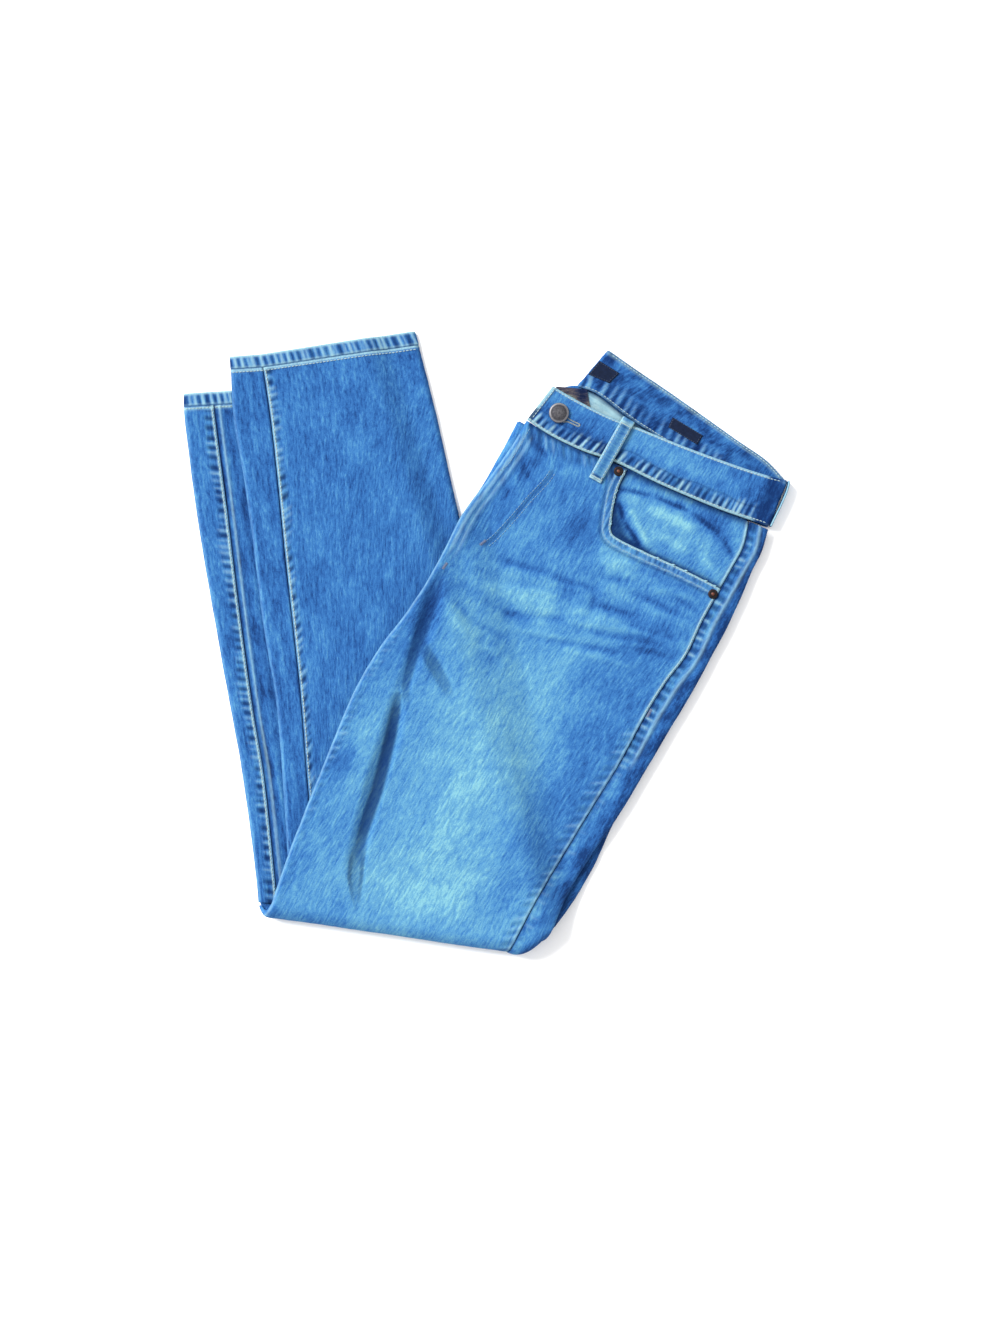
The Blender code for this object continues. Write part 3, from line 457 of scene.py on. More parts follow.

# How far the dye has washed out: a base, and patches paler or deeper than it. The deep patch at the
# crotch is painted shade.
THIGH_FADE = rows_of(
    Patch,
    (-15.0, -120.0, 150.0, 75.0, 64.0, 0.36),
    (-60.0, -236.0, 40.0, 120.0, 82.0, 0.24),
    (60.0, 25.0, 70.0, 70.0, 64.0, 0.06),
    (110.0, -65.0, 120.0, 26.0, 62.0, -0.12),
    (55.0, -190.0, 70.0, 26.0, 55.0, -0.14),
    (60.0, 130.0, 60.0, 45.0, 64.0, -0.04),
    (-122.0, -95.0, 70.0, 22.0, 66.0, 0.16),
    # painted shade at the crotch, where the crease starts
    (-55.0, 26.0, 38.0, 15.0, 66.0, -0.34),
    (82.7, 104.4, 26.0, 14.0, 75.0, -0.2),
    (118.2, 76.4, 26.0, 16.0, -25.0, 0.16),
    (38.8, 167.9, 22.0, 12.0, 50.0, -0.22),
    (-34.0, 22.3, 20.0, 10.0, 60.0, 0.08),
    (-135.8, -115.0, 18.0, 9.0, 60.0, -0.2),
    (15.5, 46.5, 34.0, 14.0, -10.0, 0.04),
    (-30.0, 30.0, 40.0, 26.0, 66.0, 0.08),
)
BACK_FADE = rows_of(Patch, (60.0, -262.0, 26.0, 20.0, 0.0, 0.2))
YOKE_FADE = rows_of(Patch, (105.0, 218.0, 22.0, 10.0, -35.0, 0.3))


def values(rows):
    return np.array([[item for item in row if not isinstance(item, str)] for row in rows], float)


def ease(amount):
    amount = np.clip(amount, 0.0, 1.0)
    return amount * amount * (3 - 2 * amount)


def between(table, at):
    """The table's rows at fractional indices, on a smooth curve through its rows."""
    at = np.asarray(at, float)
    last = len(table) - 1
    index = np.clip(at.astype(int), 0, last - 1)
    part = (at - index)[..., None]
    before = table[np.maximum(index - 1, 0)]
    first = table[index]
    second = table[index + 1]
    after = table[np.minimum(index + 2, last)]
    turn = 2 * before - 5 * first + 4 * second - after
    bend = 3 * (first - second) + after - before
    return first + 0.5 * part * (second - before + part * (turn + part * bend))


def travelled(points):
    """How far each point lies along a path."""
    steps = np.linalg.norm(np.diff(points, axis=0), axis=1)
    return np.concatenate(([0], np.cumsum(steps)))


def unit(vectors):
    return vectors / np.maximum(np.linalg.norm(vectors, axis=-1, keepdims=True), 1e-9)


def right_of(line, plan):
    run = unit(np.array((line.x1 - line.x0, line.y1 - line.y0)))
    away = plan - np.array((line.x0, line.y0))
    return away[..., 1] * run[0] - away[..., 0] * run[1]


def draped(line, reach, plan):
    from_fold = (FOLD_AT - plan) @ FOLD_OUT
    free = ease((from_fold - FOLD_CLEAR) / FOLD_HOLD)
    return 1 - ease(right_of(line, plan) / reach) * free


def right_shin_bottom(plan):
    return PITCH * draped(LEFT_SHIN_EDGE, SHIN_DROP, plan)


def thigh_bottom(plan):
    over = PITCH * draped(LEFT_SHIN_EDGE, THIGH_DROP, plan) + PITCH
    return over * draped(RIGHT_SHIN_EDGE, THIGH_DROP, plan)


def line_reach(plan, a, b):
    """Share along a line and distance from it, for an array of plan points."""
    run = b - a
    part = np.clip((plan - a) @ run / (run @ run), 0.0, 1.0)
    return part, np.linalg.norm(plan - a - part[..., None] * run, axis=-1)


def stripe(away, at, width):
    """A soft line at a distance: 1 on it, and fading to 0."""
    return np.exp(-(((away - at) / width) ** 2))


def crease_depth(plan, creases=CREASES, sharp=False):
    """How deep troughs are pressed, with soft sides or, for the painted shade at their bottoms, sharp
    ones.
    """
    deepest = np.zeros(plan.shape[:-1])
    for rows in creases:
        for start, end in zip(rows, rows[1:]):
            part, away = line_reach(plan, np.array(start[:2]), np.array(end[:2]))
            width = start.half_width + part * (end.half_width - start.half_width)
            depth = start.depth + part * (end.depth - start.depth)
            reach = np.minimum(away / width, 1.0)
            profile = 1 - ease((reach - 0.5) / 0.5) if sharp else (1 - reach * reach) ** 2
            deepest = np.maximum(deepest, depth * profile)
    return deepest


def folds_height(plan, folds):
    """Soft ridges and hollows that fade out towards their ends."""
    height = np.zeros(plan.shape[:-1])
    for fold in folds:
        part, away = line_reach(plan, np.array(fold[:2]), np.array(fold[2:4]))
        taper = 1 - (2 * part - 1) ** 4
        height += fold.lift * taper * np.exp(-((away / fold.width) ** 2))
    return height


def patches(plan, table):
    total = np.zeros(plan.shape[:-1])
    for patch in table:
        turn = math.radians(patch.turn)
        along = np.array((math.cos(turn), math.sin(turn)))
        across = np.array((-along[1], along[0]))
        away = plan - np.array((patch.x, patch.y))
        reach = (away @ along / patch.along) ** 2 + (away @ across / patch.across) ** 2
        total += patch.amount * np.exp(-reach)
    return total


class Leg:
    """A leg pressed flat: thigh, fold under the knee and shin. Outer is face 1, inner is -1."""

    def __init__(self, thigh, shin, thigh_middle, shin_middle, creased=False):
        self.thigh = thigh
        self.shin = shin
        self.thigh_middle = thigh_middle
        self.shin_middle = shin_middle
        self.creased = creased
        self.bend = len(thigh) - 1
        self.under = self.bend + 1
        self.hem_seam = self.under + len(shin) - 2
        self.hem_edge = self.hem_seam + 1
        self.high = float(thigh_middle(thigh[-1][0:2]))
        self.low = float(shin_middle(shin[0][0:2]))

    def section(self, at):
        thigh = between(self.thigh, np.clip(at, 0, self.bend))
        shin = between(self.shin, np.clip(at - self.under, 0, len(self.shin) - 1))
        part = np.clip(at - self.bend, 0, 1)[..., None]
        reach = (self.high - self.low) / 2
        seam_end = self.thigh[-1][2:4] + SEAM_DRIFT * FOLD_ACROSS
        ends = np.concatenate((self.shin[0][0:2], seam_end, self.shin[0][4:6]))
        bulge = max(reach - FOLD_SPARE, reach * FOLD_SHARE)
        swing = np.tile(FOLD_OUT, 3) * bulge * np.cos(np.pi * (0.5 - part))
        fold = self.thigh[-1] * (1 - part) + ends * part + swing
        row = np.where((at <= self.bend)[..., None], thigh, fold)
        row = np.where((at >= self.under)[..., None], shin, row)
        return row[..., 0:2], row[..., 2:4], row[..., 4:6], np.pi * (0.5 - part[..., 0])

    def sag(self, at, plan):
        first = self.thigh[0]
        run = first[2:4] - first[0:2]
        across = (plan - first[0:2]) @ run / (run @ run)
        dips = values(WAIST_DIPS)
        dip = np.interp(across, dips[:, 0], dips[:, 1])
        return WAIST_DOWN * (dip * np.clip(1 - at, 0, 1) ** 2)[..., None]

    def surface(self, at, around, face=1, shift=0.0, out=0.0):
        """Points at row at and place around: 0 left, 1 seam, 2 right, past them round the edges.

        Each whole step past 0 or 2 turns by a right angle, and past the second one the
        point lies on the far side, WRAP_UNDER mm in for each step.
        """
        at, around = np.broadcast_arrays(np.asarray(at, float), np.asarray(around, float))
        left, seam, right, slope = self.section(at)
        half = HALF + out
        edge = around <= 0
        far = around >= 2
        turned = np.where(edge, -around, np.where(far, around - 2, 0.0))
        angle = np.pi / 2 * (1 - np.minimum(turned, 2.0))
        in_by = -out + (EDGE_ROUND + out) * (1 - np.cos(angle))
        in_by = in_by + WRAP_UNDER * np.maximum(turned - 2, 0)
        start = np.where(edge[..., None], left, right)
        rounded = start + unit(seam - start) * in_by[..., None]
        inner_left = left + unit(seam - left) * EDGE_ROUND
        inner_right = right + unit(seam - right) * EDGE_ROUND
        part = np.clip(around, 0, 1)[..., None]
        plan = inner_left * (1 - part) + seam * part + unit(seam - left) * shift
        part = np.clip(around - 1, 0, 1)[..., None]
        bow = CORNER_BOW * ease(at - self.bend + 1.5) * ease(self.under - at + 0.5)
        second = seam * (1 - part) + inner_right * part + unit(right - seam) * shift
        second = second + FOLD_OUT * (bow[..., None] * 4 * part * (1 - part))
        plan = np.where((around > 1)[..., None], second, plan)
        plan = np.where((edge | far)[..., None], rounded, plan)
        lift = face * half * np.where(edge | far, np.sin(angle), 1.0)
        plan = plan + self.sag(at, plan)
        thigh_middle = self.thigh_middle(plan)
        shin_middle = self.shin_middle(plan)
        level = (self.high + self.low) / 2 + (self.high - self.low) / 2 * np.sin(slope)
        middle = np.where(at >= self.under, shin_middle, level)
        middle = np.where(at <= self.bend, thigh_middle, middle)
        if self.creased:
            pressed = (lift > 0) & (at <= self.under) & (around <= 1)
            lift = lift - np.where(pressed, crease_depth(plan) * (lift / half) ** 2, 0.0)
        slope = np.where(at >= self.under, -np.pi / 2, slope)
        slope = np.where(at <= self.bend, np.pi / 2, slope)
        plan = plan + FOLD_OUT * (np.cos(slope) * lift)[..., None]
        return np.concatenate((plan, (middle + np.sin(slope) * lift)[..., None]), axis=-1)

    def even(self, fine, at, around, spacing, face):
        """Some of the fine values, evenly spaced by the real length along them."""
        far = travelled(self.surface(at, around, face))
        count = max(2, round(far[-1] / spacing))
        return np.interp(np.linspace(0, far[-1], count + 1), far, fine)

    def rows(self, start, end, around, spacing, face=1):
        """Row values that are evenly spaced along the leg."""
        fine = np.linspace(start, end, FINE)
        return self.even(fine, fine, around, spacing, face)

    def places(self, start, end, at, spacing, face=1):
        """Around values that are evenly spaced across the leg."""
        fine = np.linspace(start, end, FINE)
        return self.even(fine, at, fine, spacing, face)

    def two_places(self, ends, at, spacings, face=1):
        """Places in two lengths that meet at an edge, with a spacing each."""
        first = self.places(ends[0], ends[1], at, spacings[0], face)
        return np.concatenate((first[:-1], self.places(ends[1], ends[2], at, spacings[1], face)))


def under_thigh_rows():
    rows = values(THIGH)
    for row, reveal in zip(rows, UNDER_THIGH):
        left_run = unit(row[0:2] - row[2:4])
        right_run = unit(row[4:6] - row[2:4])
        row[0:2] += left_run * reveal.left
        row[4:6] += right_run * reveal.right
    return rows


LEFT_LEG = Leg(
    values(THIGH),
    values(LEFT_SHIN),
    lambda plan: thigh_bottom(plan) + TUBE + HALF,
    lambda plan: np.full(plan.shape[:-1], HALF),
    creased=True,
)
RIGHT_LEG = Leg(
    under_thigh_rows(),
    values(RIGHT_SHIN),
    lambda plan: thigh_bottom(plan) + HALF,
    lambda plan: right_shin_bottom(plan) + HALF,
)


def grid_of(leg, rows, places, face=1, out=0.0):
    at, around = np.meshgrid(rows, places, indexing="ij")
    return leg.surface(at, around, face, out=out), at, around


def raised(grid, height, flip=False):
    """A grid moved out along its normals."""
    normal = unit(np.cross(np.gradient(grid, axis=0), np.gradient(grid, axis=1)))
    return grid + (-normal if flip else normal) * height[..., None]


def lengths(grid, axis):
    """How far each point lies along a grid's rows or columns."""
    step = np.linalg.norm(np.diff(grid, axis=axis), axis=-1)
    start = np.zeros_like(np.take(step, [0], axis=axis))
    return np.concatenate((start, np.cumsum(step, axis=axis)), axis=axis)


def ripple(seed, spacing, evenness=0.2):
    """Uneven bumps along a line: heights at each half millimetre of a metre."""
    rng = np.random.default_rng(seed)
    along = np.arange(0, 1000, 0.5)
    height = np.zeros_like(along)
    at = 0.0
    while at < 1000:
        at += spacing * (1 + evenness * (2 * rng.random() - 1) * 1.6)
        width = spacing * (0.24 + 0.12 * rng.random())
        height += (0.55 + 0.6 * rng.random()) * np.exp(-(((along - at) / width) ** 2))
    return along, height


Puckers = namedtuple("Puckers", "name seed spacing reach slant start")
PUCKERS = rows_of(
    Puckers,
    ("front outseam", 21, 9.5, 15.0, 0.35, 1.0),
    ("front edge", 22, 7.5, 13.0, -0.3, 3.5),
    ("pocket mouth", 25, 4.6, 9.0, 0.1, 1.8),
    ("waist seam", 26, 8.5, 17.0, 0.3, 2.0),
    ("back outseam", 41, 8.0, 10.5, 0.1, 1.0),
    ("upper inseam", 51, 9.0, 12.5, 0.1, 2.6),
    ("upper shin edge", 101, 8.2, 12.5, 0.1, 2.6),
    ("lower shin edge", 111, 8.2, 12.5, 0.1, 2.6),
    ("band seam", 81, 6.2, 16.5, 0.12, 2.8),
    ("band top", 82, 8.5, 7.0, 0.15, 1.0),
    ("band inside", 84, 7.5, 22.0, 0.4, 1.5),
)


def puckers(along, away, name):
    """Bumps beside a seam, highest near it and gone at reach, as the table's row of that name says."""
    _, seed, spacing, reach, slant, start = next(row for row in PUCKERS if row.name == name)
    table, height = ripple(seed, spacing)
    rng = np.random.default_rng(seed + 500)
    reach_of = np.interp(along, np.arange(0, 1000, 20), reach * (0.75 + 0.5 * rng.random(50)))
    bump = np.interp(along - slant * away, table, height) - 0.6
    near = ease((away - start * 0.2) / start)
    near = near * (1 - ease((away - 0.5 * reach_of) / (0.5 * reach_of)))
    return bump * near * (away > 0)


def waves(plan, seed, size, octaves=2):
    """Smooth seeded noise over the plan, about -1 to 1."""
    rng = np.random.default_rng(seed)
    total = np.zeros(plan.shape[:-1])
    for octave in range(octaves):
        for _ in range(7):
            angle = rng.random() * 2 * np.pi
            turn = rng.random() * 2 * np.pi
            pull = 2 * np.pi / (size / 2**octave) * (0.6 + 0.8 * rng.random())
            direction = np.array((math.cos(angle), math.sin(angle)))
            total += np.sin(plan @ direction * pull + turn) / (2.6 * 1.8**octave)
    return total / 1.6


LIT = 0.46


def srgb(red, green, blue):
    """A colour as read off the photo, in linear units and taken down by how brightly it is lit."""
    found = []
    for value in (red, green, blue):
        value /= 255
        linear = value / 12.92 if value <= 0.04045 else ((value + 0.055) / 1.055) ** 2.4
        found.append(LIT * linear)
    return (*found, 1.0)


class Graph:
    """Short calls for a material's nodes."""

    def __init__(self, name):
        self.material = bpy.data.materials.new(name)
        self.material.use_nodes = True
        self.tree = self.material.node_tree
        self.shader = self.tree.nodes["Principled BSDF"]

    def add(self, kind, **settings):
        node = self.tree.nodes.new("ShaderNode" + kind)
        for key, value in settings.items():
            setattr(node, key, value)
        return node

    def link(self, source, target):
        self.tree.links.new(source, target)

    def feed(self, socket, value):
        if isinstance(value, bpy.types.NodeSocket):
            self.link(value, socket)
        else:
            socket.default_value = value

    def attribute(self, name):
        return self.add("Attribute", attribute_name=name).outputs["Fac"]

    def set(self, name, value):
        self.shader.inputs[name].default_value = value

    def rib(self, direction, scale, turn=0.0, coordinates="UV"):
        """Fine parallel ribs, turned by degrees."""
        node = self.add("TexWave", wave_type="BANDS", bands_direction=direction, wave_profile="SIN")
        place = self.mapped((1.0, 1.0, 1.0), math.radians(turn), coordinates)
        self.link(place, node.inputs["Vector"])
        node.inputs["Scale"].default_value = scale
        return node.outputs["Fac"]

    def math(self, operation, first, second=0.0, clamp=False):
        node = self.add("Math", operation=operation, use_clamp=clamp)
        self.feed(node.inputs[0], first)
        self.feed(node.inputs[1], second)
        return node.outputs[0]

    def mapped(self, scale, turn=0.0, coordinates="UV"):
        place = self.add("TexCoord").outputs[coordinates]
        mapping = self.add("Mapping")
        self.link(place, mapping.inputs["Vector"])
        mapping.inputs["Scale"].default_value = scale
        mapping.inputs["Rotation"].default_value = (0, 0, turn)
        return mapping.outputs["Vector"]

    def noise(self, scale, detail=2.0, turn=0.0, coordinates="UV", roughness=0.5):
        node = self.add("TexNoise")
        self.link(self.mapped(scale, turn, coordinates), node.inputs["Vector"])
        node.inputs["Scale"].default_value = 1.0
        node.inputs["Detail"].default_value = detail
        node.inputs["Roughness"].default_value = roughness
        return node.outputs["Fac"]

    def ramp(self, value, stops):
        node = self.add("ValToRGB")
        ramp = node.color_ramp
        while len(ramp.elements) < len(stops):
            ramp.elements.new(0.5)
        for element, (place, colour) in zip(ramp.elements, stops):
            element.position = place
            element.color = colour
        self.link(value, node.inputs["Fac"])
        return node.outputs["Color"]

    def mix(self, amount, first, second):
        node = self.add("Mix", data_type="RGBA")
        self.feed(node.inputs[0], amount)
        self.feed(node.inputs[6], first)
        self.feed(node.inputs[7], second)
        return node.outputs[2]

    def bump(self, height, distance, strength=1.0, normal=None):
        node = self.add("Bump")
        node.inputs["Strength"].default_value = strength
        node.inputs["Distance"].default_value = distance
        self.link(height, node.inputs["Height"])
        if normal is not None:
            self.link(normal, node.inputs["Normal"])
        return node.outputs["Normal"]


INDIGO = (
    (0.0, srgb(26, 66, 128)),
    (0.22, srgb(46, 102, 176)),
    (0.42, srgb(64, 130, 204)),
    (0.62, srgb(90, 160, 218)),
    (0.82, srgb(116, 186, 226)),
    (1.0, srgb(150, 218, 236)),
)
LINING = (
    (0.0, srgb(20, 34, 70)),
    (0.35, srgb(62, 66, 88)),
    (0.6, srgb(106, 96, 98)),
    (1.0, srgb(150, 186, 178)),
)
PALE_WEFT = (
    (0.0, srgb(50, 96, 140)),
    (0.35, srgb(96, 146, 184)),
    (0.6, srgb(128, 176, 204)),
    (1.0, srgb(176, 214, 226)),
)


PATTERNS = rows_of(
    Pattern,
    ("streak", 400.0, 66.0, 1.0, 3.0, 0.0, 0.62, 0.78),
    ("slub", 560.0, 190.0, 1.0, 2.0, 14.0, 0.5, 0.56),
    ("speck", 900.0, 900.0, 1.0, 2.0, 0.0, 0.5, 0.46),
    ("cloud", 90.0, 30.0, 0.2, 3.0, 0.0, 0.5, 0.36),
)
# Pale colour for wear, which along rounded edges is a painted highlight
PALE_WEAR_AND_HIGHLIGHT = srgb(178, 226, 240)
# Colour that the shade attribute mixes in: painted shade in creases, ditches, hollows and under edges
PAINTED_SHADE_COLOUR = srgb(4, 38, 96)
RIB_TURN = -28
RIB_SCALE = 320.0


def denim(name, stops=INDIGO, grain=1.0, whole=None):
    """Washed twill: streaks of uneven yarn along the leg, a fine diagonal rib, wear with painted
    highlights, painted shade, and sheen.

    whole is the fade of a piece that has no marks and no threads' directions of its own.
    """
    g = Graph(name)
    space, deep = ("UV", 1.0) if whole is None else ("Object", 300.0)
    tone = g.attribute("fade") if whole is None else whole
    found = {}
    for row in PATTERNS:
        scale = (row.across, row.along, deep * row.deep)
        pattern = g.noise(scale, row.detail, math.radians(row.turn), space, row.roughness)
        shift = g.math("MULTIPLY", g.math("SUBTRACT", pattern, 0.5), row.amount * grain)
        tone = g.math("ADD", tone, shift)
        found[row.name] = pattern
    colour = g.ramp(tone, stops)
    worn = g.math("MULTIPLY", g.attribute("worn"), g.math("ADD", found["slub"], 0.55), clamp=True)
    # wear, and painted highlights along rounded edges
    colour = g.mix(worn, colour, PALE_WEAR_AND_HIGHLIGHT)
    # painted shade: the shade attribute darkens the colour towards this deep blue
    colour = g.mix(g.attribute("shade"), colour, PAINTED_SHADE_COLOUR)
    g.link(colour, g.shader.inputs["Base Color"])
    rib = g.rib("X", RIB_SCALE, RIB_TURN, space)
    rib.node.inputs["Distortion"].default_value = 1.2
    rib.node.inputs["Detail"].default_value = 1.0
    rough = g.math("ADD", g.math("MULTIPLY", found["speck"], 0.2), 0.74)
    g.link(rough, g.shader.inputs["Roughness"])
    normal = g.bump(rib, 0.00022, 0.7)
    normal = g.bump(found["slub"], 0.0004, 0.9, normal)
    normal = g.bump(found["streak"], 0.0006, 0.7, normal)
    g.link(normal, g.shader.inputs["Normal"])
    g.set("Sheen Weight", 0.05)
    g.set("Sheen Roughness", 0.5)
    g.set("Sheen Tint", srgb(150, 200, 240))
    g.set("Specular IOR Level", 0.05)
    return g.material


def thread_look(name, pale, deep):
    """Sewing thread: two twisted plies, washed unevenly."""
    g = Graph(name)
    twist = g.rib("X", 420.0, 40)
    wash = g.noise((160.0, 160.0, 160.0), 2.0, coordinates="Object")
    tone = g.math("ADD", g.math("MULTIPLY", twist, 0.35), g.math("MULTIPLY", wash, 0.75))
    g.link(g.ramp(tone, ((0.2, deep), (0.8, pale))), g.shader.inputs["Base Color"])
    g.link(g.math("ADD", g.math("MULTIPLY", wash, 0.2), 0.55), g.shader.inputs["Roughness"])
    g.link(g.bump(twist, 0.0001, 0.8), g.shader.inputs["Normal"])
    g.set("Sheen Weight", 0.15)
    return g.material


def metal_look(name, dark, bright):
    """Antiqued metal: dark in the hollows, worn brighter where it is touched."""
    g = Graph(name)
    cloud = g.noise((700.0, 700.0, 700.0), 3.0, coordinates="Object")
    tone = g.math("ADD", g.math("MULTIPLY", cloud, 0.5), g.attribute("worn"), clamp=True)
    g.link(g.ramp(tone, ((0.25, dark), (0.95, bright))), g.shader.inputs["Base Color"])
    g.link(g.math("ADD", g.math("MULTIPLY", cloud, 0.25), 0.42), g.shader.inputs["Roughness"])
    g.link(g.bump(cloud, 0.00012, 0.6), g.shader.inputs["Normal"])
    g.set("Metallic", 0.75)
    return g.material


def label_look(name, dark, bright):
    """A dark woven ribbon: fine ribs with a slight gloss."""
    g = Graph(name)
    rib = g.rib("Y", 520.0)
    wash = g.noise((300.0, 500.0, 1.0), 2.0)
    tone = g.math("ADD", g.math("MULTIPLY", rib, 0.4), g.math("MULTIPLY", wash, 0.6))
    g.link(g.ramp(tone, ((0.1, dark), (0.9, bright))), g.shader.inputs["Base Color"])
    g.link(g.math("ADD", g.math("MULTIPLY", wash, 0.3), 0.45), g.shader.inputs["Roughness"])
    g.link(g.bump(rib, 0.00012, 0.7), g.shader.inputs["Normal"])
    g.set("Specular IOR Level", 0.1)
    return g.material


DENIM_LOOK = denim("washed_denim")
INSIDE_LOOK = denim("denim_inside", PALE_WEFT, 0.8)
WHOLE_LOOK = denim("denim_hidden_layers", whole=0.3)
THREAD_LOOK = thread_look("washed_thread", srgb(212, 238, 236), srgb(140, 190, 212))
TACK_LOOK = thread_look("tack_thread", srgb(132, 146, 182), srgb(84, 106, 152))
HOLE_LOOK = thread_look("buttonhole_thread", srgb(172, 186, 186), srgb(112, 130, 142))
BUTTON_LOOK = metal_look("antique_metal", srgb(70, 70, 78), srgb(176, 174, 178))
RIVET_LOOK = metal_look("rivet_copper", srgb(30, 26, 30), srgb(128, 78, 62))
FLY_THREAD = thread_look("faded_thread", srgb(150, 196, 222), srgb(92, 146, 196))
LINING_LOOK = denim("fly_lining", LINING, 1.3)
LABEL_LOOK = label_look("label_cloth", srgb(8, 16, 36), srgb(26, 46, 84))
LABEL_THREAD = thread_look("label_thread", srgb(60, 84, 120), srgb(30, 46, 80))


def mesh_object(name, points, faces, look, marks=None, uv=None, lowest=0.05):
    """A mesh of four cornered faces from points in table millimetres, none below the floor."""
    mesh = bpy.data.meshes.new(name)
    points = np.asarray(points, float).reshape(-1, 3)
    points = np.column_stack((points[:, :2], np.maximum(points[:, 2], lowest)))
    points = ((points - CENTRE) * MM).astype(np.float32)
    mesh.vertices.add(len(points))
    mesh.vertices.foreach_set("co", points.ravel())
    faces = np.asarray(faces, np.int32)
    corners = faces.shape[1]
    mesh.loops.add(faces.size)
    mesh.loops.foreach_set("vertex_index", faces.ravel())
    mesh.polygons.add(len(faces))
    mesh.polygons.foreach_set("loop_start", np.arange(0, faces.size, corners, dtype=np.int32))
    mesh.polygons.foreach_set("loop_total", np.full(len(faces), corners, np.int32))
    mesh.polygons.foreach_set("use_smooth", np.ones(len(faces), bool))
    if uv is not None:
        layer = mesh.uv_layers.new(name="UVMap")
        corner_uv = uv.reshape(-1, 2)[faces.ravel()] * MM
        layer.data.foreach_set("uv", corner_uv.astype(np.float32).ravel())
    mesh.update(calc_edges=True)
    for mark in ("fade", "worn", "shade"):
        amount = np.zeros(len(points)) if marks is None or mark not in marks else marks[mark]
        layer = mesh.attributes.new(mark, "FLOAT", "POINT")
        layer.data.foreach_set("value", np.clip(amount, -1, 2).astype(np.float32).ravel())
    mesh.materials.append(look)
    made = bpy.data.objects.new(name, mesh)
    bpy.context.scene.collection.objects.link(made)
    return made


def quads(rows, columns, closed=False, flip=False):
    """The faces of a grid of points, closed where its last column meets its first."""
    last = columns if closed else columns - 1
    i, j = np.meshgrid(np.arange(rows - 1) * columns, np.arange(last), indexing="ij")
    k = (j + 1) % columns
    below = i + columns
    faces = np.stack((i + j, below + j, below + k, i + k), -1).reshape(-1, 4)
    return faces[:, ::-1] if flip else faces


def cloth_uv(grid, seam=0):
    """Threads run along the leg, so a grid's places are measured from one column."""
    across = lengths(grid, 1)
    across = across - across[:, seam : seam + 1]
    along = np.repeat(lengths(grid, 0)[:, seam : seam + 1], grid.shape[1], axis=1)
    return np.stack((across, along), -1)


def finish_piece(made, node=None):
    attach(made, "root")
    if node:
        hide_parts(node)


def cloth(name, grid, look, marks, node=None, wall=PANEL_WALL, flip=False, seam=0, keep=None, uv=None):
    """A shell of cloth from a grid of surface points, its wall inwards."""
    uv = cloth_uv(grid, seam) if uv is None else uv
    shape = grid.shape[:2]
    faces = quads(*shape, flip=flip)
    if keep is not None:
        faces = faces[keep.ravel()[faces].any(axis=1)]
    used, index = np.unique(faces, return_inverse=True)
    faces = index.reshape(faces.shape)
    marks = {key: np.broadcast_to(value, shape).ravel()[used] for key, value in marks.items()}
    made = mesh_object(name, grid.reshape(-1, 3)[used], faces, look, marks, uv.reshape(-1, 2)[used])
    shell = made.modifiers.new("wall", "SOLIDIFY")
    shell.thickness = wall * MM
    shell.offset = -1.0
    finish_piece(made, node)
    return made


def slab(name, middle, look, marks, thickness, node=None, closed=False):
    """A ribbon with soft edges round a grid of middle points, its rows along the ribbon."""
    rows, columns = middle.shape[:2]
    across = lengths(middle, 1)
    edge = np.minimum(across, across[:, -1:] - across)
    radius = thickness / 2
    half = radius * np.sqrt(np.clip(1 - (1 - np.minimum(edge / radius, 1)) ** 2, 0.02, 1))
    if closed:
        run = np.roll(middle, -1, axis=0) - np.roll(middle, 1, axis=0)
    else:
        run = np.gradient(middle, axis=0)
    out = unit(np.cross(run, np.gradient(middle, axis=1))) * half[..., None]

    def both_sides(upper, lower):
        ring = np.concatenate((upper, lower[:, ::-1]), axis=1)
        return np.concatenate((ring, ring[:1])) if closed else ring

    ring = both_sides(middle + out, middle - out)
    count = ring.shape[1]
    uv_along = np.repeat(lengths(ring, 0)[:, :1], count, axis=1)
    uv = np.stack((uv_along, lengths(ring, 1)), -1)
    marks = {key: np.broadcast_to(value, (rows, columns)) for key, value in marks.items()}
    marks = {key: both_sides(value, value) for key, value in marks.items()}
    faces = quads(*ring.shape[:2], closed=True)
    if not closed:
        j = np.arange(columns - 1)
        cap = np.stack((j, j + 1, count - 2 - j, count - 1 - j), -1)
        faces = np.concatenate((faces, cap, cap[:, ::-1] + (rows - 1) * count))
    made = mesh_object(name, ring, faces, look, marks, uv)
    finish_piece(made, node)
    return made


class Ground:
    """The outer surface of some pieces, for laying stitches on it."""

    def __init__(self, *pieces):
        points = []
        faces = []
        for piece in pieces:
            mesh = piece.data
            co = np.zeros(len(mesh.vertices) * 3)
            mesh.vertices.foreach_get("co", co)
            base = len(points)
            points.extend(Vector(p) for p in co.reshape(-1, 3))
            faces.extend([base + v for v in face.vertices] for face in mesh.polygons)
        self.tree = BVHTree.FromPolygons(points, faces)

    def drop(self, plan, low=-1.0, high=60.0, spacing=1.0):
        """Lays a plan path on the surface: its runs of points and normals between two heights."""
        runs = []
        found = []
        for x, y in resampled(plan, spacing):
            start = Vector(((x - CENTRE[0]) * MM, (y - CENTRE[1]) * MM, 0.06))
            place, normal, _, _ = self.tree.ray_cast(start, Vector((0, 0, -1)))
            if place is not None and low < place[2] / MM < high:
                found.append((x, y, place[2] / MM, *(normal if normal[2] > 0 else -normal)))
            elif found:
                runs.append(np.array(found))
                found = []
        if found:
            runs.append(np.array(found))
        return [(run[:, :3], run[:, 3:]) for run in runs if len(run) > 3]


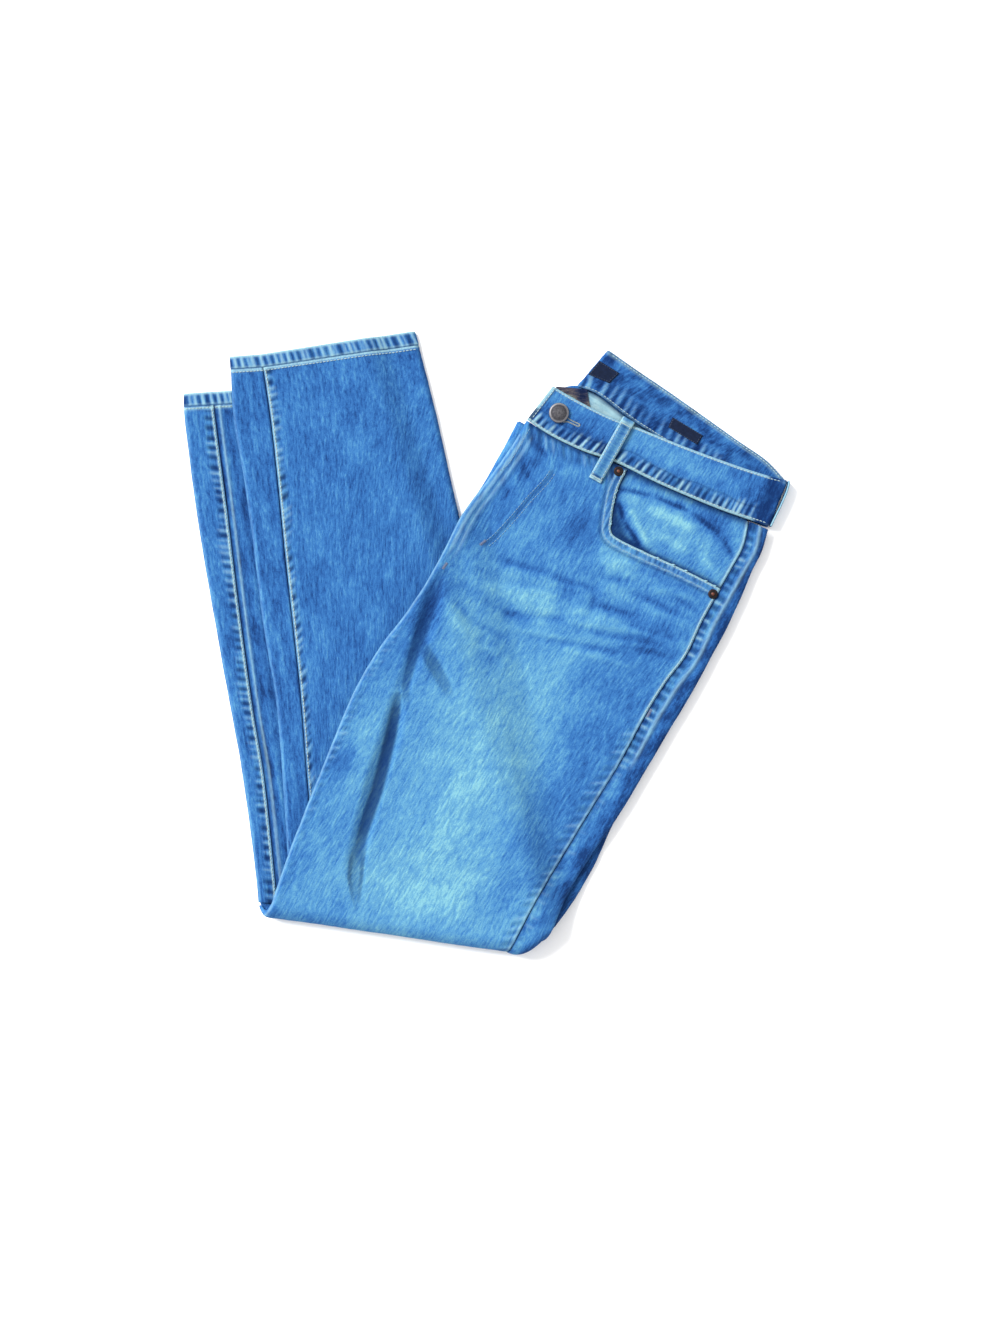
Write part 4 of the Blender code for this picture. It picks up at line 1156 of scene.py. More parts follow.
def resampled(path, spacing):
    path = np.asarray(path, float)
    far = travelled(path)
    count = max(2, round(far[-1] / spacing))
    at = np.linspace(0, far[-1], count + 1)
    return sampled(at, far, path)


def smooth_path(points, count=60):
    table = values(points)
    return between(table, np.linspace(0, len(table) - 1, count))


def offset_path(path, shift):
    """A plan path moved sideways, positive to the left of its direction."""
    run = unit(np.gradient(path, axis=0))
    return path + np.stack((-run[:, 1], run[:, 0]), -1) * shift


STITCH_RINGS = 5
STITCH_SIDES = 6
THREAD = 0.42


def sampled(at, far, items):
    """A path's points or normals at distances along it."""
    return np.stack([np.interp(at, far, items[:, k]) for k in range(items.shape[1])], -1)


def stitches(name, rows, look=THREAD_LOOK, pitch=3.3, length=3.05, radius=THREAD, sink=0.1):
    """Rows of sewn stitches, each a short thread that dives into the cloth at its ends."""
    share = np.linspace(-1, 1, STITCH_RINGS)
    angle = np.arange(STITCH_SIDES)[:, None] * 2 * np.pi / STITCH_SIDES
    size = radius * np.sqrt(1 - (0.93 * share) ** 2)
    rise = radius * (1.5 * (1 - share**2) - 0.5) - sink
    points = []
    rng = np.random.default_rng(sum(map(ord, name)))
    for path, normal in rows:
        far = travelled(path)
        middles = np.arange(pitch / 2, far[-1] - length / 2, pitch)
        if not len(middles):
            continue
        middles = middles + (rng.random(len(middles)) - 0.5) * 0.25
        at = middles[:, None] + share * length / 2
        place = sampled(at, far, path)
        up = unit(sampled(at, far, normal))
        side = unit(np.cross(unit(np.gradient(place, axis=1)), up))
        place = place + up * rise[:, None]
        ring = side[:, :, None] * np.cos(angle) + up[:, :, None] * np.sin(angle)
        points.append(place[:, :, None] + ring * size[:, None, None])
    points = np.concatenate(points)
    sides = quads(STITCH_RINGS, STITCH_SIDES, closed=True, flip=True)
    cap = np.array(((0, 1, 2, 3), (0, 3, 4, 5)))
    one = np.concatenate((sides, cap, cap[:, ::-1] + (STITCH_RINGS - 1) * STITCH_SIDES))
    firsts = np.arange(len(points))[:, None, None] * STITCH_RINGS * STITCH_SIDES
    along = np.broadcast_to(share[:, None] * length / 2, points.shape[:3])
    uv = np.stack((along, np.broadcast_to(angle[:, 0] * radius, points.shape[:3])), -1)
    made = mesh_object(name, points, (one + firsts).reshape(-1, 4), look, uv=uv)
    finish_piece(made)


def beside_seam(leg, start, end, around, face, shift):
    """A plan path beside a leg's seam."""
    rows = leg.rows(start, end, around, 2.0, face)
    return leg.surface(rows, np.full(len(rows), float(around)), face, shift=shift)[:, :2]


def inside(plan, outline):
    """Which plan points lie inside a closed outline."""
    found = np.zeros(plan.shape[:-1], bool)
    for a, b in zip(outline, np.roll(outline, -1, axis=0)):
        crosses = (a[1] > plan[..., 1]) != (b[1] > plan[..., 1])
        edge = a[0] + (plan[..., 1] - a[1]) / (b[1] - a[1] + 1e-12) * (b[0] - a[0])
        found ^= crosses & (plan[..., 0] < edge)
    return found


def nearest_on(plan, path):
    """Distance to a plan path, and the nearest point on it."""
    best = np.full(plan.shape[:-1], 1e9)
    place = np.zeros(plan.shape)
    for a, b in zip(path, path[1:]):
        part, away = line_reach(plan, a, b)
        closer = away < best
        best = np.where(closer, away, best)
        place = np.where(closer[..., None], a + part[..., None] * (b - a), place)
    return best, place


MOUTH = smooth_path(POCKET_MOUTH, 90)
FLY = smooth_path(FLY_CURVE, 60)
FLY_GAP = 5.5
FLY_BETWEEN = 2.7
FLY_STOP = 4.0
TURN_DEGREES = 165
TURN_END = LEFT_LEG.bend + TURN_DEGREES / 180
WRAPPED_LEFT = -1.667
WRAPPED_RIGHT = 3.667
TACK_ROW = 6.95
UNDER_HEM = 0.1
HEM_LOW = 3.0
HEM_LINE = 3.2
EDGE_GRID = 1.2
MOST_SHADE = 0.88

# Soft lines on the pieces: what they run beside, how far from it, and what they add. Their shade is
# painted shade, and some pale lines are painted highlights.
FRONT_LINES = rows_of(
    Mark,
    ("mouth", 4.2, 3.0, 0.5),
    ("mouth", 9.8, 1.6, -0.4),
    ("mouth", 0.0, 0.9, -0.4),
    ("mouth", 0.2, 1.3, 0.0, 0.95),
    ("mouth", 7.6, 0.8, 0.0, 0.5),
    # painted shade below the pocket mouth's stitched band
    ("mouth", 10.2, 1.5, 0.0, 0.0, 0.45),
    ("fly", 0.0, 3.0, 0.3),
    # painted shade in the hollow between the fly's stitch rows
    ("between fly rows", 0.0, 1.5, -0.25, 0.0, 0.4),
    # painted highlight along the rounded left edge
    ("edge", 0.8, 0.8, 0.0, 0.5),
    ("outseam", 1.5, 1.2, 0.0, 1.0),
    ("fly fold", 5.5, 1.6, 0.0, 0.45),
    ("fly fold", 12.0, 1.4, 0.0, 0.35),
    # painted shade in the dark lines of the fly's fold
    ("fly fold", 8.8, 1.1, 0.0, 0.0, 0.4),
    ("fly fold", 15.5, 1.3, 0.0, 0.0, 0.35),
    # painted shadow under the waistband
    ("waist", 0.0, 2.6, 0.0, 0.0, 0.8),
)
FACING_LINES = rows_of(
    Mark,
    # painted shadow under the pocket mouth and under the waistband
    ("mouth", 0.0, 3.6, 0.0, 0.0, 0.85),
    ("waist", 0.0, 4.0, 0.0, 0.0, 0.8),
    ("outseam", 1.6, 1.3, 0.0, 0.85),
)
BACK_LINES = rows_of(
    Mark,
    ("upper outseam", 11.0, 1.8, 0.6, 0.45),
    ("upper outseam", 14.0, 1.6, -0.5),
    # painted shade in the hollow beside the upper outseam and in the seam's ditch
    ("upper outseam", 13.8, 1.6, 0.0, 0.0, 0.35),
    ("outseam", 0.3, 1.3, 0.0, 0.0, 0.8),
    ("outseam", 6.0, 5.0, 0.0, 0.0, 0.0, 0.14),
)
BACK_SHIN_LINES = rows_of(
    Mark,
    ("inseam", 5.2, 1.3, 0.5),
    ("inseam", 5.2, 1.1, 0.0, 0.5),
    # painted shade in the inseam's ditch and beside its ridge, and a painted shadow along the edge of
    # the shin lying over it
    ("inseam", 0.4, 1.5, 0.0, 0.0, 0.9),
    ("inseam", 7.4, 1.0, 0.0, 0.0, 0.25),
    ("inseam", 30.0, 9.0, 0.0, 0.0, 0.35),
)
HEM_LINES = rows_of(
    Mark,
    ("edge", 0.6, 1.5, 0.0, 0.85),
    ("seam", 2.0, 0.8, 0.0, 0.4),
    # painted shade along the hem's seam
    ("seam", 0.2, 0.9, 0.0, 0.0, 0.55),
)
BAND_LINES = rows_of(
    Mark,
    ("front sag", 0.0, 1.4, -0.4),
    # painted shade in the sag crease across the band
    ("front sag", 0.0, 1.1, 0.0, 0.0, 0.4),
    ("front seam", 0.9, 1.6, 0.0, 1.0),
    # painted shade in a thin line above the seam
    ("front seam", 3.2, 0.7, 0.0, 0.0, 0.3),
    ("front top", 0.7, 1.2, 0.0, 0.9),
    ("front end", 0.8, 2.0, 0.0, 1.0),
    # painted shade beside the band's front end
    ("front end", 4.0, 1.0, 0.0, 0.0, 0.55),
    # painted shade where the band turns round the side, as a deeper fade and shade
    ("side fold", 238.0, 9.0, 0.0, 0.0, 0.0, -0.3),
    ("side fold", 238.0, 6.0, 0.0, 0.0, 0.6),
    ("inner top", 0.6, 0.9, 0.0, 0.6),
    ("inner top", 3.2, 0.8, 0.0, 0.5),
    # painted shade under the inside band's top edge
    ("inner top", 1.9, 0.6, 0.0, 0.0, 0.45),
    ("inner seam", 0.8, 0.9, 0.0, 0.35),
)
LOOP_LINES = rows_of(
    Mark,
    ("middle", 5.9, 1.0, 0.0, 0.95),
    ("middle", 3.2, 0.9, 0.0, 0.2),
    # painted shade along the loop's middle, between its raised edges
    ("middle", 0.0, 3.2, 0.0, 0.0, 0.34),
    ("end", 0.8, 1.3, 0.0, 0.9),
    # painted shade in the fold line at the lower end
    ("end", 4.4, 0.8, 0.0, 0.0, 0.55),
    ("start", 0.6, 1.6, 0.0, 0.7),
    # painted shade in the fold line at the upper end
    ("start", 4.6, 1.0, 0.0, 0.0, 0.4),
)
SIDE_LOOP_LINES = rows_of(Mark, ("middle", 6.2, 1.0, 0.0, 0.9))


class Marks:
    """A piece's height, fade, wear with some painted highlights, and painted shade, added up from soft
    lines and puckers.

    lines has, for each name in the rows, the distance from it and where it holds.
    """

    def __init__(self, grid, fade, lines=None, rows=()):
        self.height, self.worn, self.shade, self.fade = np.zeros((4, *grid.shape[:2]))
        self.fade += fade
        for row in rows:
            away, where = lines[row.line]
            line = stripe(away, row.at, row.width) * where
            self.height += row.height * line
            self.worn += row.worn * line
            self.shade += row.shade * line
            self.fade += row.fade * line

    def pucker(self, bumps, height, worn, shade, spare, where=1.0):
        """Puckers stand up, are worn on top, and have painted shade in hollows deeper than spare."""
        self.height += height * bumps
        self.worn += worn * np.clip(bumps, 0, 1) * where
        self.shade += shade * np.clip(-bumps - spare, 0, 1) * where

    def limited(self, worn=0.9, shade=MOST_SHADE):
        worn = np.clip(self.worn, 0, worn)
        return {"fade": self.fade, "worn": worn, "shade": np.clip(self.shade, 0, shade)}


def thigh_fade(plan):
    fade = 0.46 + patches(plan, THIGH_FADE) + 0.07 * waves(plan, 5, 60.0, 3)
    fade += np.clip(0.24 * folds_height(plan, WHISKERS), -0.3, 0.14)
    return fade + 0.28 * folds_height(plan, FLY_FOLDS)


def make_front_left():
    leg = LEFT_LEG
    rows = leg.rows(0.02, TURN_END, 1.0, GRID)
    places = leg.two_places((WRAPPED_LEFT, 0, 0.999), 7, (EDGE_GRID, GRID))
    grid, at, around = grid_of(leg, rows, places)
    uv = cloth_uv(grid, len(places) - 1)
    hole = inside(grid[..., :2], np.concatenate((MOUTH, values(POCKET_OUTSIDE))))
    mouth_away, mouth_place = nearest_on(grid[..., :2], MOUTH)
    trimmed = hole & (mouth_away < 2.4 * GRID)
    grid[..., :2] = np.where(trimmed[..., None], mouth_place, grid[..., :2])
    mouth_away = np.where(hole, 0.0, mouth_away)
    plan = grid[..., :2].copy()
    seam_away, along = -uv[..., 0], uv[..., 1]
    edge_away = uv[..., 0] - uv[:, np.argmin(np.abs(places)), 0][:, None] + EDGE_ROUND
    waist_away = lengths(grid, 0)
    below_tack = ease((at - TACK_ROW) / 0.6)
    on_top = around > -0.3
    lines = {
        "mouth": (mouth_away, 1.0),
        "fly": (nearest_on(plan, FLY)[0], (around < 0.32) * (at < 3.9)),
        "between fly rows": (nearest_on(plan, offset_path(FLY, FLY_BETWEEN))[0], at < FLY_STOP),
        "edge": (edge_away, at > 0.5),
        "outseam": (seam_away, 0.85 - 0.4 * below_tack),
        "fly fold": (edge_away, on_top * ease((at - 0.3) / 0.4) * (1 - ease((at - 3.6) / 0.8))),
        "waist": (waist_away, on_top),
    }
    marks = Marks(grid, thigh_fade(plan), lines, FRONT_LINES)
    near_knee = 0.35 + 0.65 * stripe(plan[..., 1], -112.0, 40.0)
    beside_edge = ease((at - 5.5) / 1.0) * near_knee
    roping = 0.6 * puckers(along, seam_away, "front outseam") * below_tack
    roping += 0.8 * puckers(along, edge_away, "front edge") * beside_edge
    mouth_along = plan @ np.array((0.9, -0.44)) + 300
    waist_roping = puckers(uv[..., 0] + 400, waist_away, "waist seam") * on_top
    marks.pucker(roping, 1.0, 0.9, 1.1, 0.04)
    marks.pucker(puckers(mouth_along, mouth_away, "pocket mouth"), 0.5, 0.55, 1.2, 0.1)
    marks.pucker(waist_roping, 0.6, 0.6, 1.1, 0.08)
    # painted shade in the crease bottoms and, lightly, in the troughs
    dark = crease_depth(plan, CREASE_DARK, True) * (around > 0)
    marks.shade += 0.84 * dark + 0.1 * np.clip(crease_depth(plan) / 4.5, 0, 1)
    height = marks.height + folds_height(plan, WHISKERS + FLY_FOLDS) - 0.25 * dark
    height += 0.4 * waves(plan, 11, 110.0) + 0.1 * waves(plan, 12, 24.0)
    marks = marks.limited(0.95)
    grid = raised(grid, height)
    return cloth("front_left_panel", grid, DENIM_LOOK, marks, "front_left", keep=~hole, uv=uv)


def make_pocket_facing():
    leg = LEFT_LEG
    rows = leg.rows(0.05, 3.7, 0.7, GRID)
    grid = grid_of(leg, rows, leg.places(0.38, 0.998, 2, GRID))[0]
    plan = grid[..., :2]
    relief = folds_height(plan, FACING_FOLDS)
    across = lengths(grid, 1)
    lines = {
        "mouth": (nearest_on(plan, MOUTH)[0], 1.0),
        "waist": (lengths(grid, 0), 1.0),
        "outseam": (across[:, -1:] - across, 1.0),
    }
    grid[..., 2] -= DENIM + SPACE
    grid = raised(grid, 0.9 * relief + 0.12 * waves(plan, 31, 20.0))
    fade = 0.5 + 0.42 * relief + 0.1 * waves(plan, 32, 30.0) + patches(plan, FACING_FADE)
    marks = Marks(grid, fade, lines, FACING_LINES)
    # painted shadow near the mouth, and painted shade in the hollows of the folds
    marks.shade += patches(plan, FACING_SHADE) + 0.7 * np.clip(-relief - 0.35, 0, 1)
    marks = marks.limited(shade=0.9)
    return cloth("pocket_facing", grid, DENIM_LOOK, marks, "pocket_facing_left", 0.9)


def make_back_left():
    leg = LEFT_LEG
    places = leg.two_places((1.001, 2, WRAPPED_RIGHT), 7, (1.3, EDGE_GRID))
    grid, at, around = grid_of(leg, leg.rows(0.02, TURN_END, 1.0, GRID), places)
    plan = grid[..., :2]
    away = lengths(grid, 1)
    above = 1 - ease((at - TACK_ROW - 0.7) / 0.5)
    fade = 0.34 + 0.14 * waves(plan, 43, 26.0, 3) - 0.2 * ease((around - 1.4) / 0.6)
    fade += patches(plan, BACK_FADE)
    marks = Marks(grid, fade, {"outseam": (away, 1.0), "upper outseam": (away, above)}, BACK_LINES)
    roping = puckers(lengths(grid, 0)[:, :1], away, "back outseam") * (0.35 + 0.85 * above)
    marks.pucker(roping, 0.9, 1.0, 0.95, 0.06)
    height = marks.height + 0.25 * waves(plan, 42, 60.0) - 0.9 * np.clip(1 - away / 1.4, 0, 1)
    grid = raised(grid, height)
    return cloth("back_left_panel", grid, DENIM_LOOK, marks.limited(), "back_left")


def streaks(away, along, seed):
    """Long pale and deep lines that run down a leg."""
    return waves(np.stack(np.broadcast_arrays(away, 0.08 * along), -1), seed, 9.0)


def mark_inseam(marks, away, roping, height, puckered=1.0):
    """Puckers and a pale line beside an inseam, or a line of painted shade behind it."""
    marks.height += height * puckered * roping
    marks.pucker(roping, 0.0, 0.75, 1.8, 0.1, puckered)
    marks.worn += 0.8 * stripe(away, 1.7, 1.2) * puckered
    # painted shade in the ditch behind the seam
    marks.shade += 0.8 * stripe(away, 0.0, 1.3) * (1 - puckered)


def shin_grid(leg, grid, at, height):
    """A shin panel's relief, with its end tucked under the hem."""
    shown = 1 - ease((at - leg.hem_seam + 0.12) / 0.12)
    tucked = 0.25 * ease((at - leg.hem_seam + 0.05) / 0.1)
    return raised(grid, height * shown - tucked, flip=True)


def shin_cloth(name, node, grid, marks, most_worn=0.9, seam=0):
    """A shin panel, worn along its hem."""
    along = lengths(grid, 0)
    marks.worn += 0.8 * stripe(along[-1:] - along, HEM_LINE, 1.3)
    marks = marks.limited(most_worn)
    return cloth(name, grid, DENIM_LOOK, marks, node, flip=True, seam=seam)


ShinPart = namedtuple("ShinPart", "puckers name node start puckered seed fade edge_light")
SHIN_PARTS = rows_of(
    ShinPart,
    ("upper shin edge", "back_right_shin_panel", "back_right_shin", 0.7, 0.0, 101, 0.33, 0.12),
    ("lower shin edge", "front_left_shin_panel", "front_left_shin", 0.04, 1.0, 111, 0.38, 0.14),
)


def make_shin_left_part(leg, row):
    """The part of a shin from under its left edge to its inseam."""
    puckered, seed, edge_light = row.puckered, row.seed, row.edge_light
    rows = leg.rows(leg.under + row.start, leg.hem_seam + UNDER_HEM, 1.0, GRID, -1)
    places = leg.two_places((-3.0, 0, 0.998), 18, (EDGE_GRID, EDGE_GRID), -1)
    grid, at, _ = grid_of(leg, rows, places, -1)
    plan = grid[..., :2]
    across = lengths(grid, 1)
    along = lengths(grid, 0)[:, -1:]
    away = across[:, -1:] - across
    edge_column = np.argmin(np.abs(places))
    edge_away = across - across[:, edge_column : edge_column + 1] + EDGE_ROUND
    lines = streaks(away, along, seed + 3)
    marks = Marks(grid, row.fade + 0.03 * waves(plan, seed + 2, 60.0) + 0.1 * lines)
    roping = puckers(along, away, row.puckers)
    mark_inseam(marks, away, roping, 0.9, puckered)
    # painted highlight along the rounded left edge
    marks.fade += edge_light * stripe(edge_away, 1.5, 2.0)
    marks.worn += edge_light * stripe(edge_away, 1.0, 1.4)
    height = marks.height + 0.2 * waves(plan, seed + 1, 70.0) + 0.12 * lines
    height -= 0.8 * np.clip(1 - away / 1.3, 0, 1) * (1 - puckered)
    grid = shin_grid(leg, grid, at, height)
    return shin_cloth(row.name, row.node, grid, marks, seam=len(places) - 1)


def make_front_right_shin():
    """The upper shin, right of its inseam, from where it comes out of the thigh's edge."""
    leg = RIGHT_LEG
    places = leg.two_places((1.001, 2, WRAPPED_RIGHT), 19, (GRID, EDGE_GRID), -1)
    share, around = np.meshgrid(np.linspace(0, 1, 250), places, indexing="ij")
    start = leg.under + np.where(around <= 1, 0.7, 1.3 + 3.3 * np.clip(around - 1, 0, 1))
    at = start + (leg.hem_seam + UNDER_HEM - start) * share
    grid = leg.surface(at, around, -1)
    plan = grid[..., :2]
    away = lengths(grid, 1)
    along = lengths(grid, 0)[:, :1]
    lines = streaks(away, along, 56)
    fade = 0.36 + 0.03 * waves(plan, 54, 70.0) + 0.1 * stripe(away, 5.0, 6.0) + 0.08 * lines
    marks = Marks(grid, fade)
    mark_inseam(marks, away, puckers(along, away, "upper inseam"), 0.95)
    height = marks.height + 0.3 * waves(plan, 52, 120.0) + 0.08 * waves(plan, 53, 26.0) + 0.1 * lines
    grid = shin_grid(leg, grid, at, height)
    across = lengths(grid, 1)
    # painted shade along the right edge, where the shin rounds under
    marks.shade += 0.35 * stripe(np.abs(across - across[:, -6:-5]), 0.0, 3.0) * (around > 1.8)
    return shin_cloth("front_right_shin_panel", "front_right_shin", grid, marks)


def make_back_left_shin():
    leg = LEFT_LEG
    rows = leg.rows(leg.under + 0.04, leg.hem_seam + UNDER_HEM, 1.0, GRID, -1)
    grid, at, _ = grid_of(leg, rows, np.linspace(1.001, 1.2, 30), -1)
    plan = grid[..., :2]
    away = lengths(grid, 1)
    lines = streaks(away, lengths(grid, 0)[:, :1], 66)
    fade = 0.3 + 0.14 * lines + 0.05 * waves(plan, 62, 40.0)
    marks = Marks(grid, fade, {"inseam": (away, 1.0)}, BACK_SHIN_LINES)
    height = marks.height + 0.2 * lines + 0.15 * waves(plan, 61, 60.0)
    grid = shin_grid(leg, grid, at, height - np.clip(1 - away / 2.0, 0, 1))
    return shin_cloth("back_left_shin_panel", "back_left_shin", grid, marks, 2.0)


def make_hem(leg, name, node, seed):
    """The turned up hem: a soft edged band round the leg's mouth, roped by its stitching."""
    top = leg.places(-1, 3, leg.hem_seam, 1.1, -1)
    under = leg.places(3, -1, leg.hem_seam, GRID, 1)[1:-1]
    rows = np.linspace(leg.hem_seam + 0.01, leg.hem_edge, 16)
    upper = grid_of(leg, rows, top, -1, -0.55)[0]
    lower = grid_of(leg, rows, under, 1, -0.95)[0]
    ring = np.concatenate((upper, lower), axis=1).transpose(1, 0, 2)
    across = lengths(ring, 1)
    edge_away = across[:, -1:] - across
    table, height = ripple(seed, 6.3, 0.22)
    rope = np.interp(lengths(ring, 0)[:, :1] + 0.15 * across, table, height) - 0.38
    roped = rope * (1 - stripe(across, 0.0, 1.6)) * (1 - stripe(edge_away, 0.0, 2.2))
    lines = {"edge": (edge_away, 1.0), "seam": (across, 1.0)}
    marks = Marks(ring, 0.42 + 0.2 * roped, lines, HEM_LINES)
    # painted shade in the hollows of the roping
    marks.pucker(roped, 0.5, 1.1, 2.2, 0.06)
    run = np.roll(ring, -1, axis=0) - np.roll(ring, 1, axis=0)
    normal = unit(np.cross(run, np.gradient(ring, axis=1)))
    toward = np.sign(np.sum(normal * (ring - ring.mean(axis=(0, 1))), axis=-1, keepdims=True))
    on_top = (np.arange(len(ring)) < len(top))[:, None]
    ring = ring + normal * toward * (marks.height * on_top)[..., None]
    return slab(name, ring, DENIM_LOOK, marks.limited(0.92), 1.8, node, closed=True)


def make_right_thigh(name, first, last, fade):
    """The right thigh's edge, which shows beside and below the left one."""
    leg = RIGHT_LEG
    rows = leg.rows(0.2, 12.55, 1.0, 2.4)
    grid = grid_of(leg, rows, leg.places(first, last, 7, 1.5), 1, 0.35)[0]
    plan = grid[..., :2]
    grid = raised(grid, 0.12 * waves(plan, 71, 25.0))
    return cloth(name, grid, DENIM_LOOK, {"fade": fade + 0.1 * waves(plan, 72, 30.0)}, wall=0.9)


def lifted(plan, level):
    """Plan points with their heights."""
    return np.concatenate((plan, np.broadcast_to(level, plan.shape[:-1])[..., None]), axis=-1)


def band_layer(rows, height, count):
    return lifted(smooth_path(rows, count).reshape(count, 2, 2), height)


def band_turn(end, before, low, high, count=9):
    """The rows that take a ribbon round from one layer's end to the next."""
    radius = (high - low) / 2
    angle = np.pi * np.linspace(0, 1, count + 2)[1:-1, None]
    run = unit(end[:, :2] - before[:, :2])
    plan = end[:, :2] + run * (radius * np.sin(angle))[..., None]
    return lifted(plan, (high + low) / 2 + radius * np.cos(angle))


def make_waistband():
    layers = (
        band_layer(FRONT_LEFT_BAND, BAND_LEVELS[0], 190),
        band_layer(BACK_LEFT_BAND, BAND_LEVELS[1], 170),
        band_layer(BACK_LEFT_BAND[::-1], BAND_LEVELS[2], 70),
        band_layer(FRONT_RIGHT_BAND, BAND_LEVELS[3], 60),
    )
    path = [layers[0]]
    for upper, lower, high, low in zip(layers, layers[1:], BAND_LEVELS, BAND_LEVELS[1:]):
        path += [band_turn(upper[-1], upper[-2], low, high), lower]
    edges = np.concatenate(path)
    share = np.linspace(0, 1, 33)[None, :, None]
    middle = edges[:, 1:2] * (1 - share) + edges[:, 0:1] * share
    along = lengths(middle, 0)[:, :1]
    across = lengths(middle, 1)
    top_away = across[:, -1:] - across
    inner = ease((along - 240) / 10) * (1 - ease((along - 470) / 20))
    front = 1 - ease((along - 228) / 8)
    sag_line = 13.6 + 1.2 * np.sin(along / 13.0) + 0.6 * np.sin(along / 5.1)
    lines = {
        "front sag": (across - sag_line, front),
        "front seam": (across, front),
        "front top": (top_away, front),
        "front end": (along, front),
        "side fold": (along, 1.0),
        "inner top": (top_away, inner),
        "inner seam": (across, inner),
    }
    marks = Marks(middle, BAND_FADE, lines, BAND_LINES)
    roping = 1.5 * puckers(along, across, "band seam")
    inner_roping = puckers(along, across, "band inside")
    top_roping = puckers(along, top_away, "band top")
    crumple = waves(middle[..., :2], 83, 20.0, 3)
    marks.pucker(roping, 0.0, 1.2, 1.6, 0.06, front)
    marks.pucker(inner_roping, 0.0, 0.7, 1.1, 0.05, inner)
    relief = 0.6 * roping * (1 - inner) + 0.15 * top_roping + (0.08 + 0.16 * inner) * crumple
    relief = relief * np.clip(front + inner, 0, 1) - 0.7 * inner_roping * inner + marks.height
    middle = raised(middle, relief)
    marks.fade += patches(middle[..., :2], BAND_PATCHES) * front + 0.05 * crumple
    marks.fade += (0.13 * crumple + 0.3 * np.clip(inner_roping, -1, 1) - 0.12) * inner
    # painted shade on the band's inside, more in the hollows of its crumples
    marks.shade += inner * (0.08 + 0.12 * ease((-crumple - 0.1) / 0.5))
    marks = marks.limited(0.95, 0.85)
    return slab("waistband_ribbon", middle, DENIM_LOOK, marks, BAND_WALL, "waistband")


def across_rows(rows, count, share):
    """Plan points over a band's rows, from share 0 at its top to 1 at its seam."""
    row = smooth_path(rows, count)[:, None]
    return row[..., 0:2] * (1 - share[:, None]) + row[..., 2:4] * share[:, None]


def make_yoke_inside():
    plan = across_rows(YOKE, 130, np.linspace(0, 1, 26))
    grid = lifted(plan, INSIDE_TOP + 0.3 * waves(plan, 91, 22.0))
    top_away = lengths(grid, 1)
    fade = 0.66 + 0.2 * waves(plan, 92, 18.0) + patches(plan, YOKE_FADE)
    # painted shade along its top edge
    shade = 0.7 * stripe(top_away, 0.0, 2.2)
    marks = {"fade": fade, "worn": 0.5 * stripe(top_away, 5.0, 2.0), "shade": shade}
    return cloth("back_left_yoke_inside", grid, INSIDE_LOOK, marks, "back_left_inside", 1.0, flip=True)


def make_fly_lining():
    """The bit of the fly's lining that shows behind the front band."""
    share = np.linspace(0, 1, 16)
    plan = across_rows(FLY_LINING, 50, share)
    grid = lifted(plan, LINING_LEVEL + 0.25 * waves(plan, 95, 9.0))
    fade = 0.55 - 0.55 * stripe(plan[..., 0], 88.0, 5.0) + 0.45 * ease((share - 0.5) / 0.5)
    # painted shade along the lining's top edge
    marks = {"fade": fade, "shade": 0.3 * stripe(share, 0.0, 0.15)}
    return cloth("fly_lining_inside", grid, LINING_LOOK, marks, wall=0.8, flip=True)


def ways(start, end):
    """The direction of a line, and the way to its left."""
    run = unit(np.array(end) - np.array(start))
    return run, np.array((-run[1], run[0]))


def make_front_loop():
    run, side = ways(LOOP_TOP, LOOP_END)
    rise = smooth_path(LOOP_RISE, 90)
    share = np.linspace(-0.5, 0.5, 19)
    plan = np.array(LOOP_TOP) + run * rise[:, None, 0:1] - side * share[:, None] * LOOP_WIDTH
    middle = lifted(plan, rise[:, 1:2] - LOOP_WALL / 2 - 0.5 * (2 * share) ** 4)
    lines = {
        "middle": (np.abs(share)[None] * LOOP_WIDTH, 1.0),
        "end": (rise[-1, 0] - rise[:, 0:1], 1.0),
        "start": (rise[:, 0:1] + 1.0, 1.0),
    }
    marks = Marks(middle, 0.56, lines, LOOP_LINES).limited(0.95, 0.8)
    return slab("belt_loop_front_strip", middle, DENIM_LOOK, marks, LOOP_WALL, "belt_loop_front")


def make_side_loop():
    run, out = ways(SIDE_LOOP_TOP, SIDE_LOOP_END)
    bow = smooth_path(SIDE_LOOP_BOW, 44)
    plan = np.array(SIDE_LOOP_TOP) + run * bow[:, 0:1] + out * (0.6 * bow[:, 1:2])
    share = np.linspace(0, 1, 13)
    middle = lifted(np.repeat(plan[:, None], 13, axis=1), SIDE_LOOP_BOTTOM + LOOP_WIDTH * share)
    lines = {"middle": (np.abs(share - 0.5)[None] * LOOP_WIDTH, 1.0)}
    marks = Marks(middle, 0.55, lines, SIDE_LOOP_LINES).limited()
    return slab("belt_loop_side_strip", middle, DENIM_LOOK, marks, LOOP_WALL, "belt_loop_side")


def lathe(name, profile, at, base, count, look, node):
    """A round metal piece from its half profile of radius, height and worn."""
    rows = np.array(profile, float)
    angle = np.arange(count)[None] * 2 * np.pi / count
    x = at[0] + rows[:, 0:1] * np.cos(angle)
    y = at[1] + rows[:, 0:1] * np.sin(angle)
    grid = np.stack((x, y, base + rows[:, 1:2] + 0 * x), -1)
    uv = np.stack((rows[:, 0:1] + 0 * x, angle * 9 + 0 * x), -1)
    marks = {"worn": (rows[:, 2:3] + 0 * x).ravel()}
    made = mesh_object(name, grid, quads(*x.shape, closed=True, flip=True), look, marks, uv)
    finish_piece(made, node)


